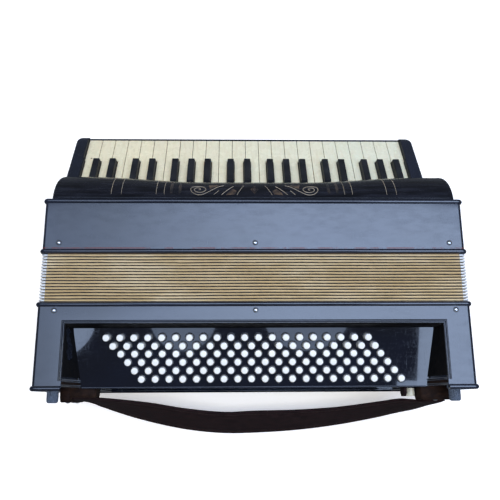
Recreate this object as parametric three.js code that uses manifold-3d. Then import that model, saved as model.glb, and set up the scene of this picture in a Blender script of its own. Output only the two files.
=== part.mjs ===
// Piano accordion with 41 keys and 120 bass buttons, lying on its back with its front up.
// Millimetres. +X runs along the keyboard towards the low notes, +Y from the bass end to the
// keyboard, +Z up from the back to the front. The origin is the middle of the base of the
// object's bounding box. Until the last lines, Y is counted from the bass end face.
import * as THREE from "three";
import { ConvexGeometry } from "three/addons/geometries/ConvexGeometry.js";
import { mergeVertices } from "three/addons/utils/BufferGeometryUtils.js";
import Module from "manifold-3d";

const wasm = await Module();
wasm.setup();

// ---- driving dimensions ----

const GAP = 0.3; // between pieces that touch
const WALL = 6; // casing walls
const HALF_WIDTH = 259; // both casings, measured without the beads
const FRONT = 190; // front faces

const ROUND_SIDES = 8; // of rods, feet and beads
const BEAD_RADIUS = 3;
const BEAD_SINK = 0.5; // how far a bead's centre lies inside the wall
const BACK = BEAD_RADIUS * Math.cos(Math.PI / ROUND_SIDES) - BEAD_SINK; // stands on the beads

const BASS_DEPTH = 96; // bass casing, from its end face to the bellows
const BASS_END_BEAD = -1.5; // centre of the bead round the end face
const TREBLE_NEAR = 161; // treble casing, at the bellows
const TREBLE_FAR = 228; // treble casing, at the cover
const TREBLE_REAR = 276; // hidden part of the treble casing, under the cover
const REAR_HALF_WIDTH = 252;
const REAR_SIDE = 3.5; // side walls of the hidden part and of the cover
const REAR_WALL_TOP = 95;
const SOUNDBOARD_FACE = 220;
const SOUNDBOARD = 6;

const FOLDS = 16;
const FOLD_DEPTH = 18;
const FOLD_WALL = 6; // along the fold, which leaves cards about 0.6 thick

const COVER_SHEET = 2.5;
const COVER_CENTRE = new THREE.Vector2(222, 128); // centre of the ellipse it follows, as (y, z)
const COVER_RADII = new THREE.Vector2(53, 62);
const COVER_STEPS = 10;

const KEY_PITCH = 20;
const KEY_GAP = 0.6; // between neighbours
const KEYBOARD_SHIFT = -9; // the keyboard sits off the casing's centre line
const KEYS_END = new THREE.Vector2(376, 33.5); // top far edge of the white keys, as (y, z)
const KEY_SLOPE = THREE.MathUtils.degToRad(28.9);
const KEY_HEIGHT = 12;
const KEY_HEAD = 47.5;
const KEY_LENGTH = 140; // to the end of the shank
const BLACK_WIDTH = 11;
const BLACK_TOP_WIDTH = 9;
const BLACK_RISE = 10;
const BLACK_START = 49;
const BLACK_CAP_END = 104;
const BLACK_BEVEL = 4;
const AXLE_AT = 125; // along the key
const AXLE_DEPTH = 8; // below the key tops
const AXLE_RADIUS = 2;

const ARM_WIDTH = 5;
const PALLET_WIDTH = 10;
const PALLET_HEIGHT = 18;
const PALLET_THICKNESS = 7;
const PALLET_Z = { white: 123, black: 150 };

const CHEEK_WIDTH = 16.7;
const CHEEK_RISE = 7; // above the white keys
const CHEEK_STEP = 1; // the cheeks stand closer together beside the black keys
const CHEEK_STEP_END = 103; // along the keys
const BED_END = 380;
const KEY_CLEARANCE = 6; // under a key at rest
const BED_PLATE = 8;

const BOARD_TILT = THREE.MathUtils.degToRad(11);
const BOARD_NEAR_Z = 137.5; // top of the board at the end face
const BOARD_LENGTH = 71.4;
const BOARD_THICKNESS = 3;
const BOARD_NEAR_HALF = 214.7;
const BOARD_FAR_HALF = 225.7;
const RECESS_HALF = 225;
const RECESS_DEPTH = 71;
const MOULDING = 4;
const MOULDING_RISE = 1.5;

const BUTTON_PITCH = 17;
const BUTTONS_IN_ROW = 20;
const BUTTON_ROWS = 6;
const ROW_SPACING = 10.32;
const LAST_ROW_Y = 10.5; // along the board, from the end face
const BUTTON_RADIUS = 4.3;
const BUTTON_HOLE_RADIUS = 5.1;
const BUTTON_RISE = 3.7;
const TALL_BUTTON_RISE = 10.8; // the two rows nearest the bellows
const TALL_ROWS = 2;
const CARRIER_TOP = -8;
const CARRIER_HEIGHT = 4;
const CARRIER_WIDTH = 6;

const AIR_BUTTON = { x: 201, z: 112, radius: 5.5, rise: 11.6, hole: 6.3 };
const FOOT = { x: 245, z: [38, 150], radius: 7, height: 18 };
const PLATE = { thickness: 3, x: [197, 240], z: [34, 131] }; // that the strap's ends lie on
const STRAP_CLAMP = { low: 108, left: 9.5, right: 12 }; // blocks that hold the strap's ends
const CLAMP_TAB = [182, 186]; // beside the air button
const STRAP_THICKNESS = 4;
const PEG_SIDES = 6; // of the buttons and their holes

// ---- materials ----

function material(color, roughness, metalness = 0) {
  return new THREE.MeshStandardMaterial({ color, roughness, metalness });
}

const celluloid = material("#14161f", 0.15);
const ivory = material("#e9e2c2", 0.3);
const ebony = material("#1c2230", 0.25);
const buttonWhite = material("#f2f2ee", 0.25);
const bellowsCloth = material("#c9b48c", 0.8);
const wood = material("#a07c50", 0.6);
const leather = material("#2a1d1e", 0.6);
const steel = material("#b8bcc2", 0.3, 1);

// ---- solids ----

function toSolid(geometry) {
  const plain = geometry.index ? geometry : mergeVertices(geometry);
  plain.deleteAttribute("normal");
  plain.deleteAttribute("uv");
  const merged = mergeVertices(plain, 1e-4);
  return new wasm.Manifold(
    new wasm.Mesh({
      numProp: 3,
      vertProperties: new Float32Array(merged.attributes.position.array),
      triVerts: new Uint32Array(merged.index.array),
    }),
  );
}

function toGeometry(solid) {
  const mesh = solid.getMesh();
  const geometry = new THREE.BufferGeometry();
  geometry.setAttribute("position", new THREE.BufferAttribute(mesh.vertProperties, 3));
  geometry.setIndex(new THREE.BufferAttribute(mesh.triVerts, 1));
  return geometry;
}

function join(...solids) {
  return solids.reduce((whole, solid) => whole.add(solid));
}

function box([x0, x1], [y0, y1], [z0, z1]) {
  const geometry = new THREE.BoxGeometry(x1 - x0, y1 - y0, z1 - z0);
  return toSolid(geometry.translate((x0 + x1) / 2, (y0 + y1) / 2, (z0 + z1) / 2));
}

// A side view, drawn as a shape in (y, z), carried along X from x0 to x1.
function alongX(shape, x0, x1, curveSegments = 1) {
  const options = { depth: x1 - x0, bevelEnabled: false, curveSegments };
  const turn = new THREE.Matrix4().makeBasis(
    new THREE.Vector3(0, 1, 0),
    new THREE.Vector3(0, 0, 1),
    new THREE.Vector3(1, 0, 0),
  );
  const geometry = new THREE.ExtrudeGeometry(shape, options).applyMatrix4(turn);
  return toSolid(geometry.translate(x0, 0, 0));
}

function outline(points) {
  return new THREE.Shape(points.map(([y, z]) => new THREE.Vector2(y, z)));
}

function hull(points) {
  return toSolid(new ConvexGeometry(points.map(([x, y, z]) => new THREE.Vector3(x, y, z))));
}

// A round bar along Y, at (x, z).
function barAlongY(radius, x, z, y0, y1) {
  const geometry = new THREE.CylinderGeometry(radius, radius, y1 - y0, ROUND_SIDES);
  return toSolid(geometry.translate(x, (y0 + y1) / 2, z));
}

// A mitred rectangular ring round the casing. The section is a closed list of (y, out),
// where out is measured outwards from the casing's outer faces.
function ring(section) {
  const corners = section.flatMap(([y, out]) => [
    [-HALF_WIDTH - out, y, BACK - out],
    [HALF_WIDTH + out, y, BACK - out],
    [HALF_WIDTH + out, y, FRONT + out],
    [-HALF_WIDTH - out, y, FRONT + out],
  ]);
  const faces = [];
  for (let i = 0; i < section.length; i += 1) {
    const next = (i + 1) % section.length;
    for (let side = 0; side < 4; side += 1) {
      const a = i * 4 + side;
      const b = i * 4 + ((side + 1) % 4);
      const c = next * 4 + ((side + 1) % 4);
      const d = next * 4 + side;
      faces.push(a, b, c, a, c, d);
    }
  }
  const geometry = new THREE.BufferGeometry();
  geometry.setAttribute("position", new THREE.Float32BufferAttribute(corners.flat(), 3));
  geometry.setIndex(faces);
  return toSolid(geometry);
}

// The section of a ring with square corners. It runs the way that turns the faces outwards.
function squareSection(y0, y1, outer, inner) {
  return [
    [y0, outer],
    [y0, inner],
    [y1, inner],
    [y1, outer],
  ];
}

function bead(y) {
  const section = [];
  for (let i = 0; i < ROUND_SIDES; i += 1) {
    const angle = ((i + 0.5) * 2 * Math.PI) / ROUND_SIDES;
    section.push([y - BEAD_RADIUS * Math.cos(angle), BEAD_RADIUS * Math.sin(angle) - BEAD_SINK]);
  }
  return ring(section.reverse());
}

const model = new THREE.Group();

function addNode(name, solid, look, group = model) {
  const node = new THREE.Mesh(toGeometry(solid), look);
  node.name = name;
  group.add(node);
  return node;
}

// ---- keys ----

// A point in the side view of the keyboard: along the key from its far end, and above its top.
function onKey(along, above) {
  return [
    KEYS_END.x - along * Math.cos(KEY_SLOPE) + above * Math.sin(KEY_SLOPE),
    KEYS_END.y + along * Math.sin(KEY_SLOPE) + above * Math.cos(KEY_SLOPE),
  ];
}

// A plan outline of (x, along the key), carried down from the key tops.
function keyPlate(points) {
  const options = { depth: KEY_HEIGHT, bevelEnabled: false };
  const place = new THREE.Matrix4().makeBasis(
    new THREE.Vector3(1, 0, 0),
    new THREE.Vector3(0, -Math.cos(KEY_SLOPE), Math.sin(KEY_SLOPE)),
    new THREE.Vector3(0, -Math.sin(KEY_SLOPE), -Math.cos(KEY_SLOPE)),
  );
  place.setPosition(0, KEYS_END.x, KEYS_END.y);
  return toSolid(new THREE.ExtrudeGeometry(outline(points), options).applyMatrix4(place));
}

function keySlab(from, to, top, bottom, x0, x1) {
  const corners = [
    [from, top],
    [to, top],
    [to, bottom],
    [from, bottom],
  ];
  return alongX(outline(corners.map(([along, above]) => onKey(along, above))), x0, x1);
}

// The white keys from the high end, which is at -X, and the black key that follows each one.
const WHITE_NOTES = "AGFEDCBAGFEDCBAGFEDCBAGF";
const HIGHEST_OCTAVE = 6;
const BLACK_AFTER = { A: "Gs", G: "Fs", E: "Ds", D: "Cs", B: "As" };
const BLACK_SHIFT = { As: -0.2, Gs: 0, Fs: 0.2, Ds: -0.11, Cs: 0.11 }; // in key pitches

function keyLayout() {
  const whites = [];
  const blacks = [];
  const first = KEYBOARD_SHIFT - (WHITE_NOTES.length / 2) * KEY_PITCH;
  let octave = HIGHEST_OCTAVE;
  [...WHITE_NOTES].forEach((note, i) => {
    if (note === "B" && i > 0) octave -= 1;
    const left = first + i * KEY_PITCH;
    whites.push({ name: `key_${note}${octave}`, left, right: left + KEY_PITCH });
    const black = BLACK_AFTER[note];
    if (black && i < WHITE_NOTES.length - 1) {
      const x = left + (1 + BLACK_SHIFT[black]) * KEY_PITCH;
      blacks.push({ name: `key_${black}${octave}`, x, after: i });
    }
  });
  return { whites, blacks };
}

const { whites, blacks } = keyLayout();

// The lever behind the axle and the pallet that closes this key's hole in the soundboard.
function armAndPallet(x, palletZ) {
  const face = SOUNDBOARD_FACE + GAP;
  const back = face + PALLET_THICKNESS;
  const arm = outline([
    [250, 93],
    [257, 99],
    [240, palletZ + 3],
    [back - 1, palletZ + 3],
    [back - 1, palletZ - 3],
    [236, palletZ - 3],
  ]);
  const halfHeight = PALLET_HEIGHT / 2;
  return join(
    alongX(arm, x - ARM_WIDTH / 2, x + ARM_WIDTH / 2),
    box(
      [x - PALLET_WIDTH / 2, x + PALLET_WIDTH / 2],
      [face, back],
      [palletZ - halfHeight, palletZ + halfHeight],
    ),
  );
}

function axleNotch(x0, x1) {
  const clearance = AXLE_RADIUS + GAP;
  return keySlab(
    AXLE_AT - clearance,
    AXLE_AT + clearance,
    -AXLE_DEPTH + clearance,
    -KEY_HEIGHT - 1,
    x0 - 1,
    x1 + 1,
  );
}

function shankEdges(key, i) {
  const blackHalf = BLACK_WIDTH / 2 + KEY_GAP / 2;
  const onLeft = blacks.find((black) => black.after === i - 1);
  const onRight = blacks.find((black) => black.after === i);
  const atEnd = (cheek) => KEY_GAP / 2 + (cheek ? CHEEK_STEP : 0);
  return [
    onLeft ? onLeft.x + blackHalf : key.left + atEnd(i === 0),
    onRight ? onRight.x - blackHalf : key.right - atEnd(i === whites.length - 1),
  ];
}

function whiteKey(key) {
  const [x0, x1] = key.shank;
  const headStart = key.left + KEY_GAP / 2;
  const headEnd = key.right - KEY_GAP / 2;
  const plan = [
    [headStart, 0],
    [headEnd, 0],
    [headEnd, KEY_HEAD],
    [x1, KEY_HEAD],
    [x1, KEY_LENGTH],
    [x0, KEY_LENGTH],
    [x0, KEY_HEAD],
    [headStart, KEY_HEAD],
  ];
  const body = join(keyPlate(plan), armAndPallet(key.palletX, PALLET_Z.white));
  return body.subtract(axleNotch(x0, x1));
}

function blackKey(key) {
  const half = BLACK_WIDTH / 2;
  const baseHalf = half - 0.3;
  const topHalf = BLACK_TOP_WIDTH / 2;
  const cap = [];
  for (const side of [-1, 1]) {
    cap.push([key.x + side * baseHalf, ...onKey(BLACK_START + 0.5, -1)]);
    cap.push([key.x + side * baseHalf, ...onKey(BLACK_CAP_END, -1)]);
    cap.push([key.x + side * topHalf, ...onKey(BLACK_START + BLACK_BEVEL, BLACK_RISE)]);
    cap.push([key.x + side * topHalf, ...onKey(BLACK_CAP_END - BLACK_BEVEL, BLACK_RISE)]);
  }
  return join(
    hull(cap),
    keySlab(BLACK_START, KEY_LENGTH, 0, -KEY_HEIGHT, key.x - half, key.x + half),
    armAndPallet(key.palletX, PALLET_Z.black),
  ).subtract(axleNotch(key.x - half, key.x + half));
}

whites.forEach((key, i) => {
  key.shank = shankEdges(key, i);
  key.palletX = (key.shank[0] + key.shank[1]) / 2;
});
blacks.forEach((key) => {
  key.palletX = key.x;
});
for (const key of whites) addNode(key.name, whiteKey(key), ivory);
for (const key of blacks) addNode(key.name, blackKey(key), ebony);

function keyAxle() {
  const length = 2 * (REAR_HALF_WIDTH - REAR_SIDE - GAP);
  const geometry = new THREE.CylinderGeometry(AXLE_RADIUS, AXLE_RADIUS, length, ROUND_SIDES);
  const [y, z] = onKey(AXLE_AT, -AXLE_DEPTH);
  return toSolid(geometry.rotateZ(Math.PI / 2).translate(0, y, z));
}
addNode("key_axle", keyAxle(), steel);

// ---- keyboard bed with its cheeks ----

function keyboardBed() {
  const start = TREBLE_REAR + GAP;
  const keysLeft = whites[0].left;
  const keysRight = whites[whites.length - 1].right;
  const left = keysLeft - CHEEK_WIDTH;
  const right = keysRight + CHEEK_WIDTH;
  const lipFace = KEYS_END.x + 0.8;
  const lipTop = KEYS_END.y - 2.5;
  const backPanel = 5;
  const plateTop = -KEY_HEIGHT - KEY_CLEARANCE;
  const atY = (y, above) => {
    const drop = (KEYS_END.x - y) * Math.tan(KEY_SLOPE);
    return KEYS_END.y + drop + above / Math.cos(KEY_SLOPE);
  };
  const plateBottom = plateTop - BED_PLATE;
  const meet = KEYS_END.x - (backPanel - atY(KEYS_END.x, plateBottom)) / Math.tan(KEY_SLOPE);
  const bedStart = start + GAP;
  const bedEnd = BED_END - GAP;
  const bed = outline([
    [bedStart, GAP],
    [bedEnd, GAP],
    [bedEnd, lipTop],
    [lipFace, lipTop],
    [lipFace, atY(lipFace, plateTop)],
    [bedStart, atY(bedStart, plateTop)],
    [bedStart, atY(bedStart, plateBottom)],
    [meet, backPanel],
    [bedStart, backPanel],
  ]);

  const cheek = new THREE.Shape();
  cheek.moveTo(start, 0);
  cheek.lineTo(BED_END, 0);
  cheek.lineTo(BED_END, lipTop - 3);
  cheek.quadraticCurveTo(...onKey(-3, CHEEK_RISE), ...onKey(12, CHEEK_RISE));
  cheek.lineTo(start, atY(start, CHEEK_RISE));
  const step = (x0, x1) => {
    const [top, bottom] = [CHEEK_RISE - 1, plateTop - 1];
    return keySlab(KEY_HEAD + KEY_GAP, CHEEK_STEP_END, top, bottom, x0, x1);
  };
  return join(
    alongX(bed, left + 1, right - 1),
    alongX(cheek, left, keysLeft - GAP, 5),
    alongX(cheek, keysRight + GAP, right, 5),
    step(keysLeft - 1, keysLeft + CHEEK_STEP - GAP / 2),
    step(keysRight - CHEEK_STEP + GAP / 2, keysRight + 1),
  );
}
addNode("keyboard_bed", keyboardBed(), celluloid);

// ---- treble casing, soundboard and reed block ----

function palletHole(x, z) {
  const halfWidth = PALLET_WIDTH / 2 - 2;
  const halfHeight = PALLET_HEIGHT / 2 - 3;
  return box(
    [x - halfWidth, x + halfWidth],
    [SOUNDBOARD_FACE - SOUNDBOARD - 1, SOUNDBOARD_FACE + 1],
    [z - halfHeight, z + halfHeight],
  );
}

function trebleCasing() {
  const soundboardHalf = HALF_WIDTH - WALL + 0.5;
  const inner = REAR_HALF_WIDTH - REAR_SIDE;
  const wallStart = SOUNDBOARD_FACE - 1;
  const farWallTop = 62;
  const rearBack = BACK + 0.5;
  const rearSide = outline([
    [wallStart, rearBack],
    [TREBLE_REAR, rearBack],
    [TREBLE_REAR, REAR_WALL_TOP],
    [wallStart, REAR_WALL_TOP],
  ]);
  const trayEnd = TREBLE_REAR - 0.5;
  const rearTray = outline([
    [wallStart - 1, rearBack + 0.5],
    [trayEnd, rearBack + 0.5],
    [trayEnd, farWallTop],
    [trayEnd - WALL, farWallTop],
    [trayEnd - WALL, BACK + WALL + 0.5],
    [wallStart - 1, BACK + WALL + 0.5],
  ]);
  const shell = join(
    ring(squareSection(TREBLE_NEAR, TREBLE_FAR, 0, -WALL)),
    ring(squareSection(TREBLE_FAR - 4, TREBLE_FAR, -2, -11)),
    box(
      [-soundboardHalf, soundboardHalf],
      [SOUNDBOARD_FACE - SOUNDBOARD, SOUNDBOARD_FACE],
      [BACK + WALL - 0.5, FRONT - WALL + 0.5],
    ),
    alongX(rearTray, -REAR_HALF_WIDTH + 1, REAR_HALF_WIDTH - 1),
    alongX(rearSide, -REAR_HALF_WIDTH, -inner),
    alongX(rearSide, inner, REAR_HALF_WIDTH),
    bead(TREBLE_NEAR),
    bead(TREBLE_FAR - BEAD_RADIUS),
  );
  const holes = [
    ...whites.map((key) => palletHole(key.palletX, PALLET_Z.white)),
    ...blacks.map((key) => palletHole(key.palletX, PALLET_Z.black)),
  ];
  return shell.subtract(join(...holes));
}
addNode("treble_casing", trebleCasing(), celluloid);

// A wooden block with one slot for each reed plate, open on its two long faces.
function reedBlock(halfLength, [y0, y1], [z0, z1], slots) {
  const pitch = (2 * halfLength) / slots;
  const slotHalf = pitch * 0.3;
  const margin = 8;
  const cuts = [];
  for (let i = 0; i < slots; i += 1) {
    const x = -halfLength + (i + 0.5) * pitch;
    cuts.push(box([x - slotHalf, x + slotHalf], [y0 + margin, y1 - margin], [z0 - 1, z1 + 1]));
  }
  return box([-halfLength, halfLength], [y0, y1], [z0, z1]).subtract(join(...cuts));
}
addNode("treble_reed_block", reedBlock(228, [133, 213.7], [105, 162], 12), wood);
addNode("bass_reed_block", reedBlock(200, [86.3, 128], [30, 120], 8), wood);

// ---- treble cover ----

function coverOutline(inset, near, bottom) {
  const radii = COVER_RADII.clone().subScalar(inset);
  const shape = new THREE.Shape();
  shape.moveTo(near, bottom);
  shape.lineTo(COVER_CENTRE.x + radii.x, bottom);
  const last = Math.acos((near - COVER_CENTRE.x) / radii.x);
  for (let i = 0; i <= COVER_STEPS; i += 1) {
    const angle = (last * i) / COVER_STEPS;
    shape.lineTo(
      COVER_CENTRE.x + radii.x * Math.cos(angle),
      COVER_CENTRE.y + radii.y * Math.sin(angle),
    );
  }
  return shape;
}

function trebleCover() {
  const near = TREBLE_FAR + GAP;
  const bottom = REAR_WALL_TOP + GAP;
  const inner = REAR_HALF_WIDTH - REAR_SIDE;
  const whole = alongX(coverOutline(0, near, bottom), -REAR_HALF_WIDTH, REAR_HALF_WIDTH);
  const hollow = alongX(coverOutline(COVER_SHEET, near - 1, bottom - 1), -inner, inner);
  return whole.subtract(hollow);
}
addNode("treble_cover", trebleCover(), celluloid);

// ---- bellows and the wooden frames that it is glued to ----

const FRAME_INNER = -18;
const frameOuter = -WALL - GAP;
const bassFrameEnd = BASS_DEPTH + BEAD_RADIUS - GAP;
const trebleFrameEnd = TREBLE_NEAR - BEAD_RADIUS + GAP;
addNode(
  "bass_bellows_frame",
  ring(squareSection(86.3, bassFrameEnd, frameOuter, FRAME_INNER)),
  wood,
);
addNode(
  "treble_bellows_frame",
  ring(squareSection(trebleFrameEnd, 172, frameOuter, FRAME_INNER)),
  wood,
);

function bellows() {
  const start = bassFrameEnd + GAP;
  const pitch = (trebleFrameEnd - GAP - start) / FOLDS;
  const outerEdge = [];
  for (let i = 0; i <= 2 * FOLDS; i += 1) {
    const out = i % 2 === 1 ? -1 : -1 - FOLD_DEPTH;
    outerEdge.push([start + (i * pitch) / 2, out]);
  }
  const innerEdge = outerEdge.map(([y, out]) => [y, out - FOLD_WALL]);
  return ring([...innerEdge, ...outerEdge.reverse()]);
}
addNode("bellows", bellows(), bellowsCloth);

// ---- bass casing ----

// The height of the button board's plane above the floor, at a distance below its top face.
function boardZ(y, below) {
  return BOARD_NEAR_Z + y * Math.tan(BOARD_TILT) - below / Math.cos(BOARD_TILT);
}

function recess() {
  const near = BASS_END_BEAD - BEAD_RADIUS - 1;
  const above = FRONT + 5;
  const ledge = BOARD_THICKNESS + GAP;
  const points = [];
  for (const side of [-1, 1]) {
    points.push([side * RECESS_HALF, near, above]);
    points.push([side * RECESS_HALF, RECESS_DEPTH, above]);
    points.push([side * (BOARD_NEAR_HALF + GAP), near, boardZ(near, ledge)]);
    points.push([side * (BOARD_FAR_HALF + GAP), RECESS_DEPTH, boardZ(RECESS_DEPTH, ledge)]);
  }
  return hull(points);
}

function mouldings() {
  const inner = RECESS_HALF + 0.2;
  const outer = RECESS_HALF + MOULDING;
  const innerEnd = RECESS_DEPTH + 0.2;
  const outerEnd = RECESS_DEPTH + MOULDING;
  const start = 8;
  const plan = outline([
    [-outer, start],
    [-inner, start],
    [-inner, innerEnd],
    [inner, innerEnd],
    [inner, start],
    [outer, start],
    [outer, outerEnd],
    [-outer, outerEnd],
  ]);
  const options = { depth: MOULDING_RISE + 0.5, bevelEnabled: false };
  return toSolid(new THREE.ExtrudeGeometry(plan, options).translate(0, 0, FRONT - 0.5));
}

function bassCasing() {
  const inside = HALF_WIDTH - WALL + 0.5;
  const heights = [BACK + WALL - 0.5, FRONT - WALL + 0.5];
  const tubFloor = 8; // ledge under the button board
  const tub = outline([
    [1, boardZ(1, BOARD_THICKNESS + tubFloor)],
    [RECESS_DEPTH + 7, boardZ(RECESS_DEPTH + 7, BOARD_THICKNESS + tubFloor)],
    [RECESS_DEPTH + 7, FRONT - 1],
    [1, FRONT - 1],
  ]);
  const windowEnd = RECESS_DEPTH - 3;
  const window = outline([
    [WALL, 100],
    [windowEnd, 100],
    [windowEnd, FRONT],
    [WALL, FRONT],
  ]);
  const windowHalf = 206;
  const soundboard = [80, 86];
  const airChannel = barAlongY(AIR_BUTTON.hole, AIR_BUTTON.x, AIR_BUTTON.z, -10, WALL + 1);
  const clearOfButton = AIR_BUTTON.x + AIR_BUTTON.radius + 1;
  const clampHeights = [STRAP_CLAMP.low, PLATE.z[1]];
  const fittings = [
    box([-PLATE.x[1], -PLATE.x[0]], [-PLATE.thickness, 1], PLATE.z),
    box([CLAMP_TAB[0], PLATE.x[1]], [-PLATE.thickness, 1], PLATE.z),
    box([-PLATE.x[1], -PLATE.x[0]], [-STRAP_CLAMP.left, 1], clampHeights),
    box([clearOfButton, PLATE.x[1]], [-STRAP_CLAMP.right, 1], clampHeights),
    box(CLAMP_TAB, [-STRAP_CLAMP.right, 1], [100, PLATE.z[1]]),
  ];
  const feet = FOOT.z.flatMap((z) =>
    [-FOOT.x, FOOT.x].map((x) => barAlongY(FOOT.radius, x, z, -FOOT.height, 1)),
  );
  const bassHoles = [];
  for (let i = 0; i < 12; i += 1) {
    const x = -190 + (i * 380) / 11;
    bassHoles.push(box([x - 5, x + 5], [soundboard[0] - 1, soundboard[1] + 1], [60, 80]));
  }
  return join(
    ring(squareSection(0, BASS_DEPTH, 0, -WALL)),
    box([-inside, inside], [0, WALL], heights),
    box([-inside, inside], soundboard, heights),
    alongX(tub, -inside, inside),
    bead(BASS_END_BEAD),
    bead(BASS_DEPTH),
    ...fittings,
    ...feet,
  )
    .subtract(recess())
    .subtract(alongX(window, -windowHalf, windowHalf))
    .subtract(airChannel)
    .subtract(join(...bassHoles))
    .add(mouldings());
}
addNode("bass_casing", bassCasing(), celluloid);

function airButton() {
  const stem = barAlongY(3, AIR_BUTTON.x, AIR_BUTTON.z, -2, 40);
  const head = barAlongY(AIR_BUTTON.radius, AIR_BUTTON.x, AIR_BUTTON.z, -AIR_BUTTON.rise, 5);
  return join(head, stem);
}
addNode("air_button", airButton(), ivory);

// ---- button board and buttons, in a group that lies in the board's plane ----

const board = new THREE.Group();
board.position.set(0, 0, BOARD_NEAR_Z);
board.rotation.x = BOARD_TILT;
model.add(board);

function buttonPlaces(row) {
  const y = LAST_ROW_Y + (BUTTON_ROWS - 1 - row) * ROW_SPACING;
  const shift = (row - (BUTTON_ROWS - 1) / 2) * (BUTTON_PITCH / 2);
  const places = [];
  for (let i = 0; i < BUTTONS_IN_ROW; i += 1) {
    places.push({ x: (i - (BUTTONS_IN_ROW - 1) / 2) * BUTTON_PITCH + shift, y });
  }
  return places;
}

function peg(radius, { x, y }, z0, z1) {
  const geometry = new THREE.CylinderGeometry(radius, radius, z1 - z0, PEG_SIDES);
  return toSolid(geometry.rotateX(Math.PI / 2).translate(x, y, (z0 + z1) / 2));
}

function buttonBoard() {
  const far = BOARD_LENGTH;
  const plate = hull(
    [-1, 1].flatMap((side) =>
      [-BOARD_THICKNESS, 0].flatMap((z) => [
        [side * BOARD_NEAR_HALF, GAP, z],
        [side * BOARD_FAR_HALF, far, z],
      ]),
    ),
  );
  const holes = [];
  for (let row = 0; row < BUTTON_ROWS; row += 1) {
    for (const place of buttonPlaces(row)) {
      holes.push(peg(BUTTON_HOLE_RADIUS, place, -BOARD_THICKNESS - 1, 1));
    }
  }
  return plate.subtract(join(...holes));
}
addNode("bass_button_board", buttonBoard(), celluloid, board);

function buttonRow(row) {
  const rise = row < TALL_ROWS ? TALL_BUTTON_RISE : BUTTON_RISE;
  const places = buttonPlaces(row);
  const first = places[0].x - BUTTON_RADIUS;
  const last = places[places.length - 1].x + BUTTON_RADIUS;
  const halfWidth = CARRIER_WIDTH / 2;
  const y = places[0].y;
  return join(
    box(
      [first, last],
      [y - halfWidth, y + halfWidth],
      [CARRIER_TOP - CARRIER_HEIGHT, CARRIER_TOP],
    ),
    ...places.map((place) => peg(BUTTON_RADIUS, place, CARRIER_TOP - 1, rise)),
  );
}
for (let row = 0; row < BUTTON_ROWS; row += 1) {
  addNode(`button_row_${row + 1}`, buttonRow(row), buttonWhite, board);
}

// ---- bass strap ----

// The strap's two long edges, as [x, y, z], from the high-note end to the low-note end.
const STRAP_TOP = [
  [-238, -10, 127],
  [-214, -10, 121],
  [-190, -11.5, 107],
  [-138, -17, 84],
  [-90, -25, 67],
  [-38, -30, 57],
  [0, -28.7, 57.5],
  [60, -27.5, 60],
  [115, -24, 68],
  [170, -17, 80],
  [192, -13, 91],
  [212, -12.6, 104],
  [238, -12.6, 126],
];
const STRAP_BOTTOM = [
  [-238, -10.5, 52],
  [-222, -12.5, 46],
  [-205, -20, 38],
  [-160, -37, 26],
  [-95, -52.5, 10],
  [-39, -58.6, 1.5],
  [0, -58.4, 1.5],
  [60, -55, 5],
  [115, -48.5, 11],
  [170, -38.5, 23],
  [205, -28.5, 34],
  [225, -21, 43],
  [238, -13.5, 52],
];
const STRAP_STEPS = 28;

function strap() {
  const toVectors = (list) => list.map(([x, y, z]) => new THREE.Vector3(x, y, z));
  const top = new THREE.CatmullRomCurve3(toVectors(STRAP_TOP), false, "centripetal");
  const bottom = new THREE.CatmullRomCurve3(toVectors(STRAP_BOTTOM), false, "centripetal");
  const corners = [];
  for (let i = 0; i <= STRAP_STEPS; i += 1) {
    const t = i / STRAP_STEPS;
    const upper = top.getPoint(t);
    const lower = bottom.getPoint(t);
    const run = top.getTangent(t).add(bottom.getTangent(t));
    const outward = run.cross(upper.clone().sub(lower)).normalize();
    outward.multiplyScalar(STRAP_THICKNESS);
    corners.push(lower, upper, upper.clone().add(outward), lower.clone().add(outward));
  }
  const faces = [];
  for (let i = 0; i < STRAP_STEPS; i += 1) {
    for (let side = 0; side < 4; side += 1) {
      const a = i * 4 + side;
      const b = i * 4 + ((side + 1) % 4);
      faces.push(a, b, b + 4, a, b + 4, a + 4);
    }
  }
  const end = STRAP_STEPS * 4;
  faces.push(0, 2, 1, 0, 3, 2, end, end + 1, end + 2, end, end + 2, end + 3);
  const geometry = new THREE.BufferGeometry();
  const positions = corners.flatMap((corner) => corner.toArray());
  geometry.setAttribute("position", new THREE.Float32BufferAttribute(positions, 3));
  geometry.setIndex(faces);
  return toSolid(geometry);
}
addNode("bass_strap", strap(), leather);

// ---- origin ----

const bounds = new THREE.Box3().setFromObject(model);
const middle = bounds.getCenter(new THREE.Vector3());
model.position.set(-middle.x, -middle.y, -bounds.min.z);
model.updateMatrixWorld(true);

export default model;
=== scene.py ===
"""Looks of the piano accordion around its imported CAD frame.

The frame is in metres. Pieces are drawn in the CAD source's millimetres, in which Y is counted from the
bass end face, the front is at z = FRONT and the floor at z = 0. at() carries them into the frame.
"""

import functools
import itertools
import math

import bmesh
import bpy
import numpy as np
from mathutils import Matrix, Vector, noise


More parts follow.
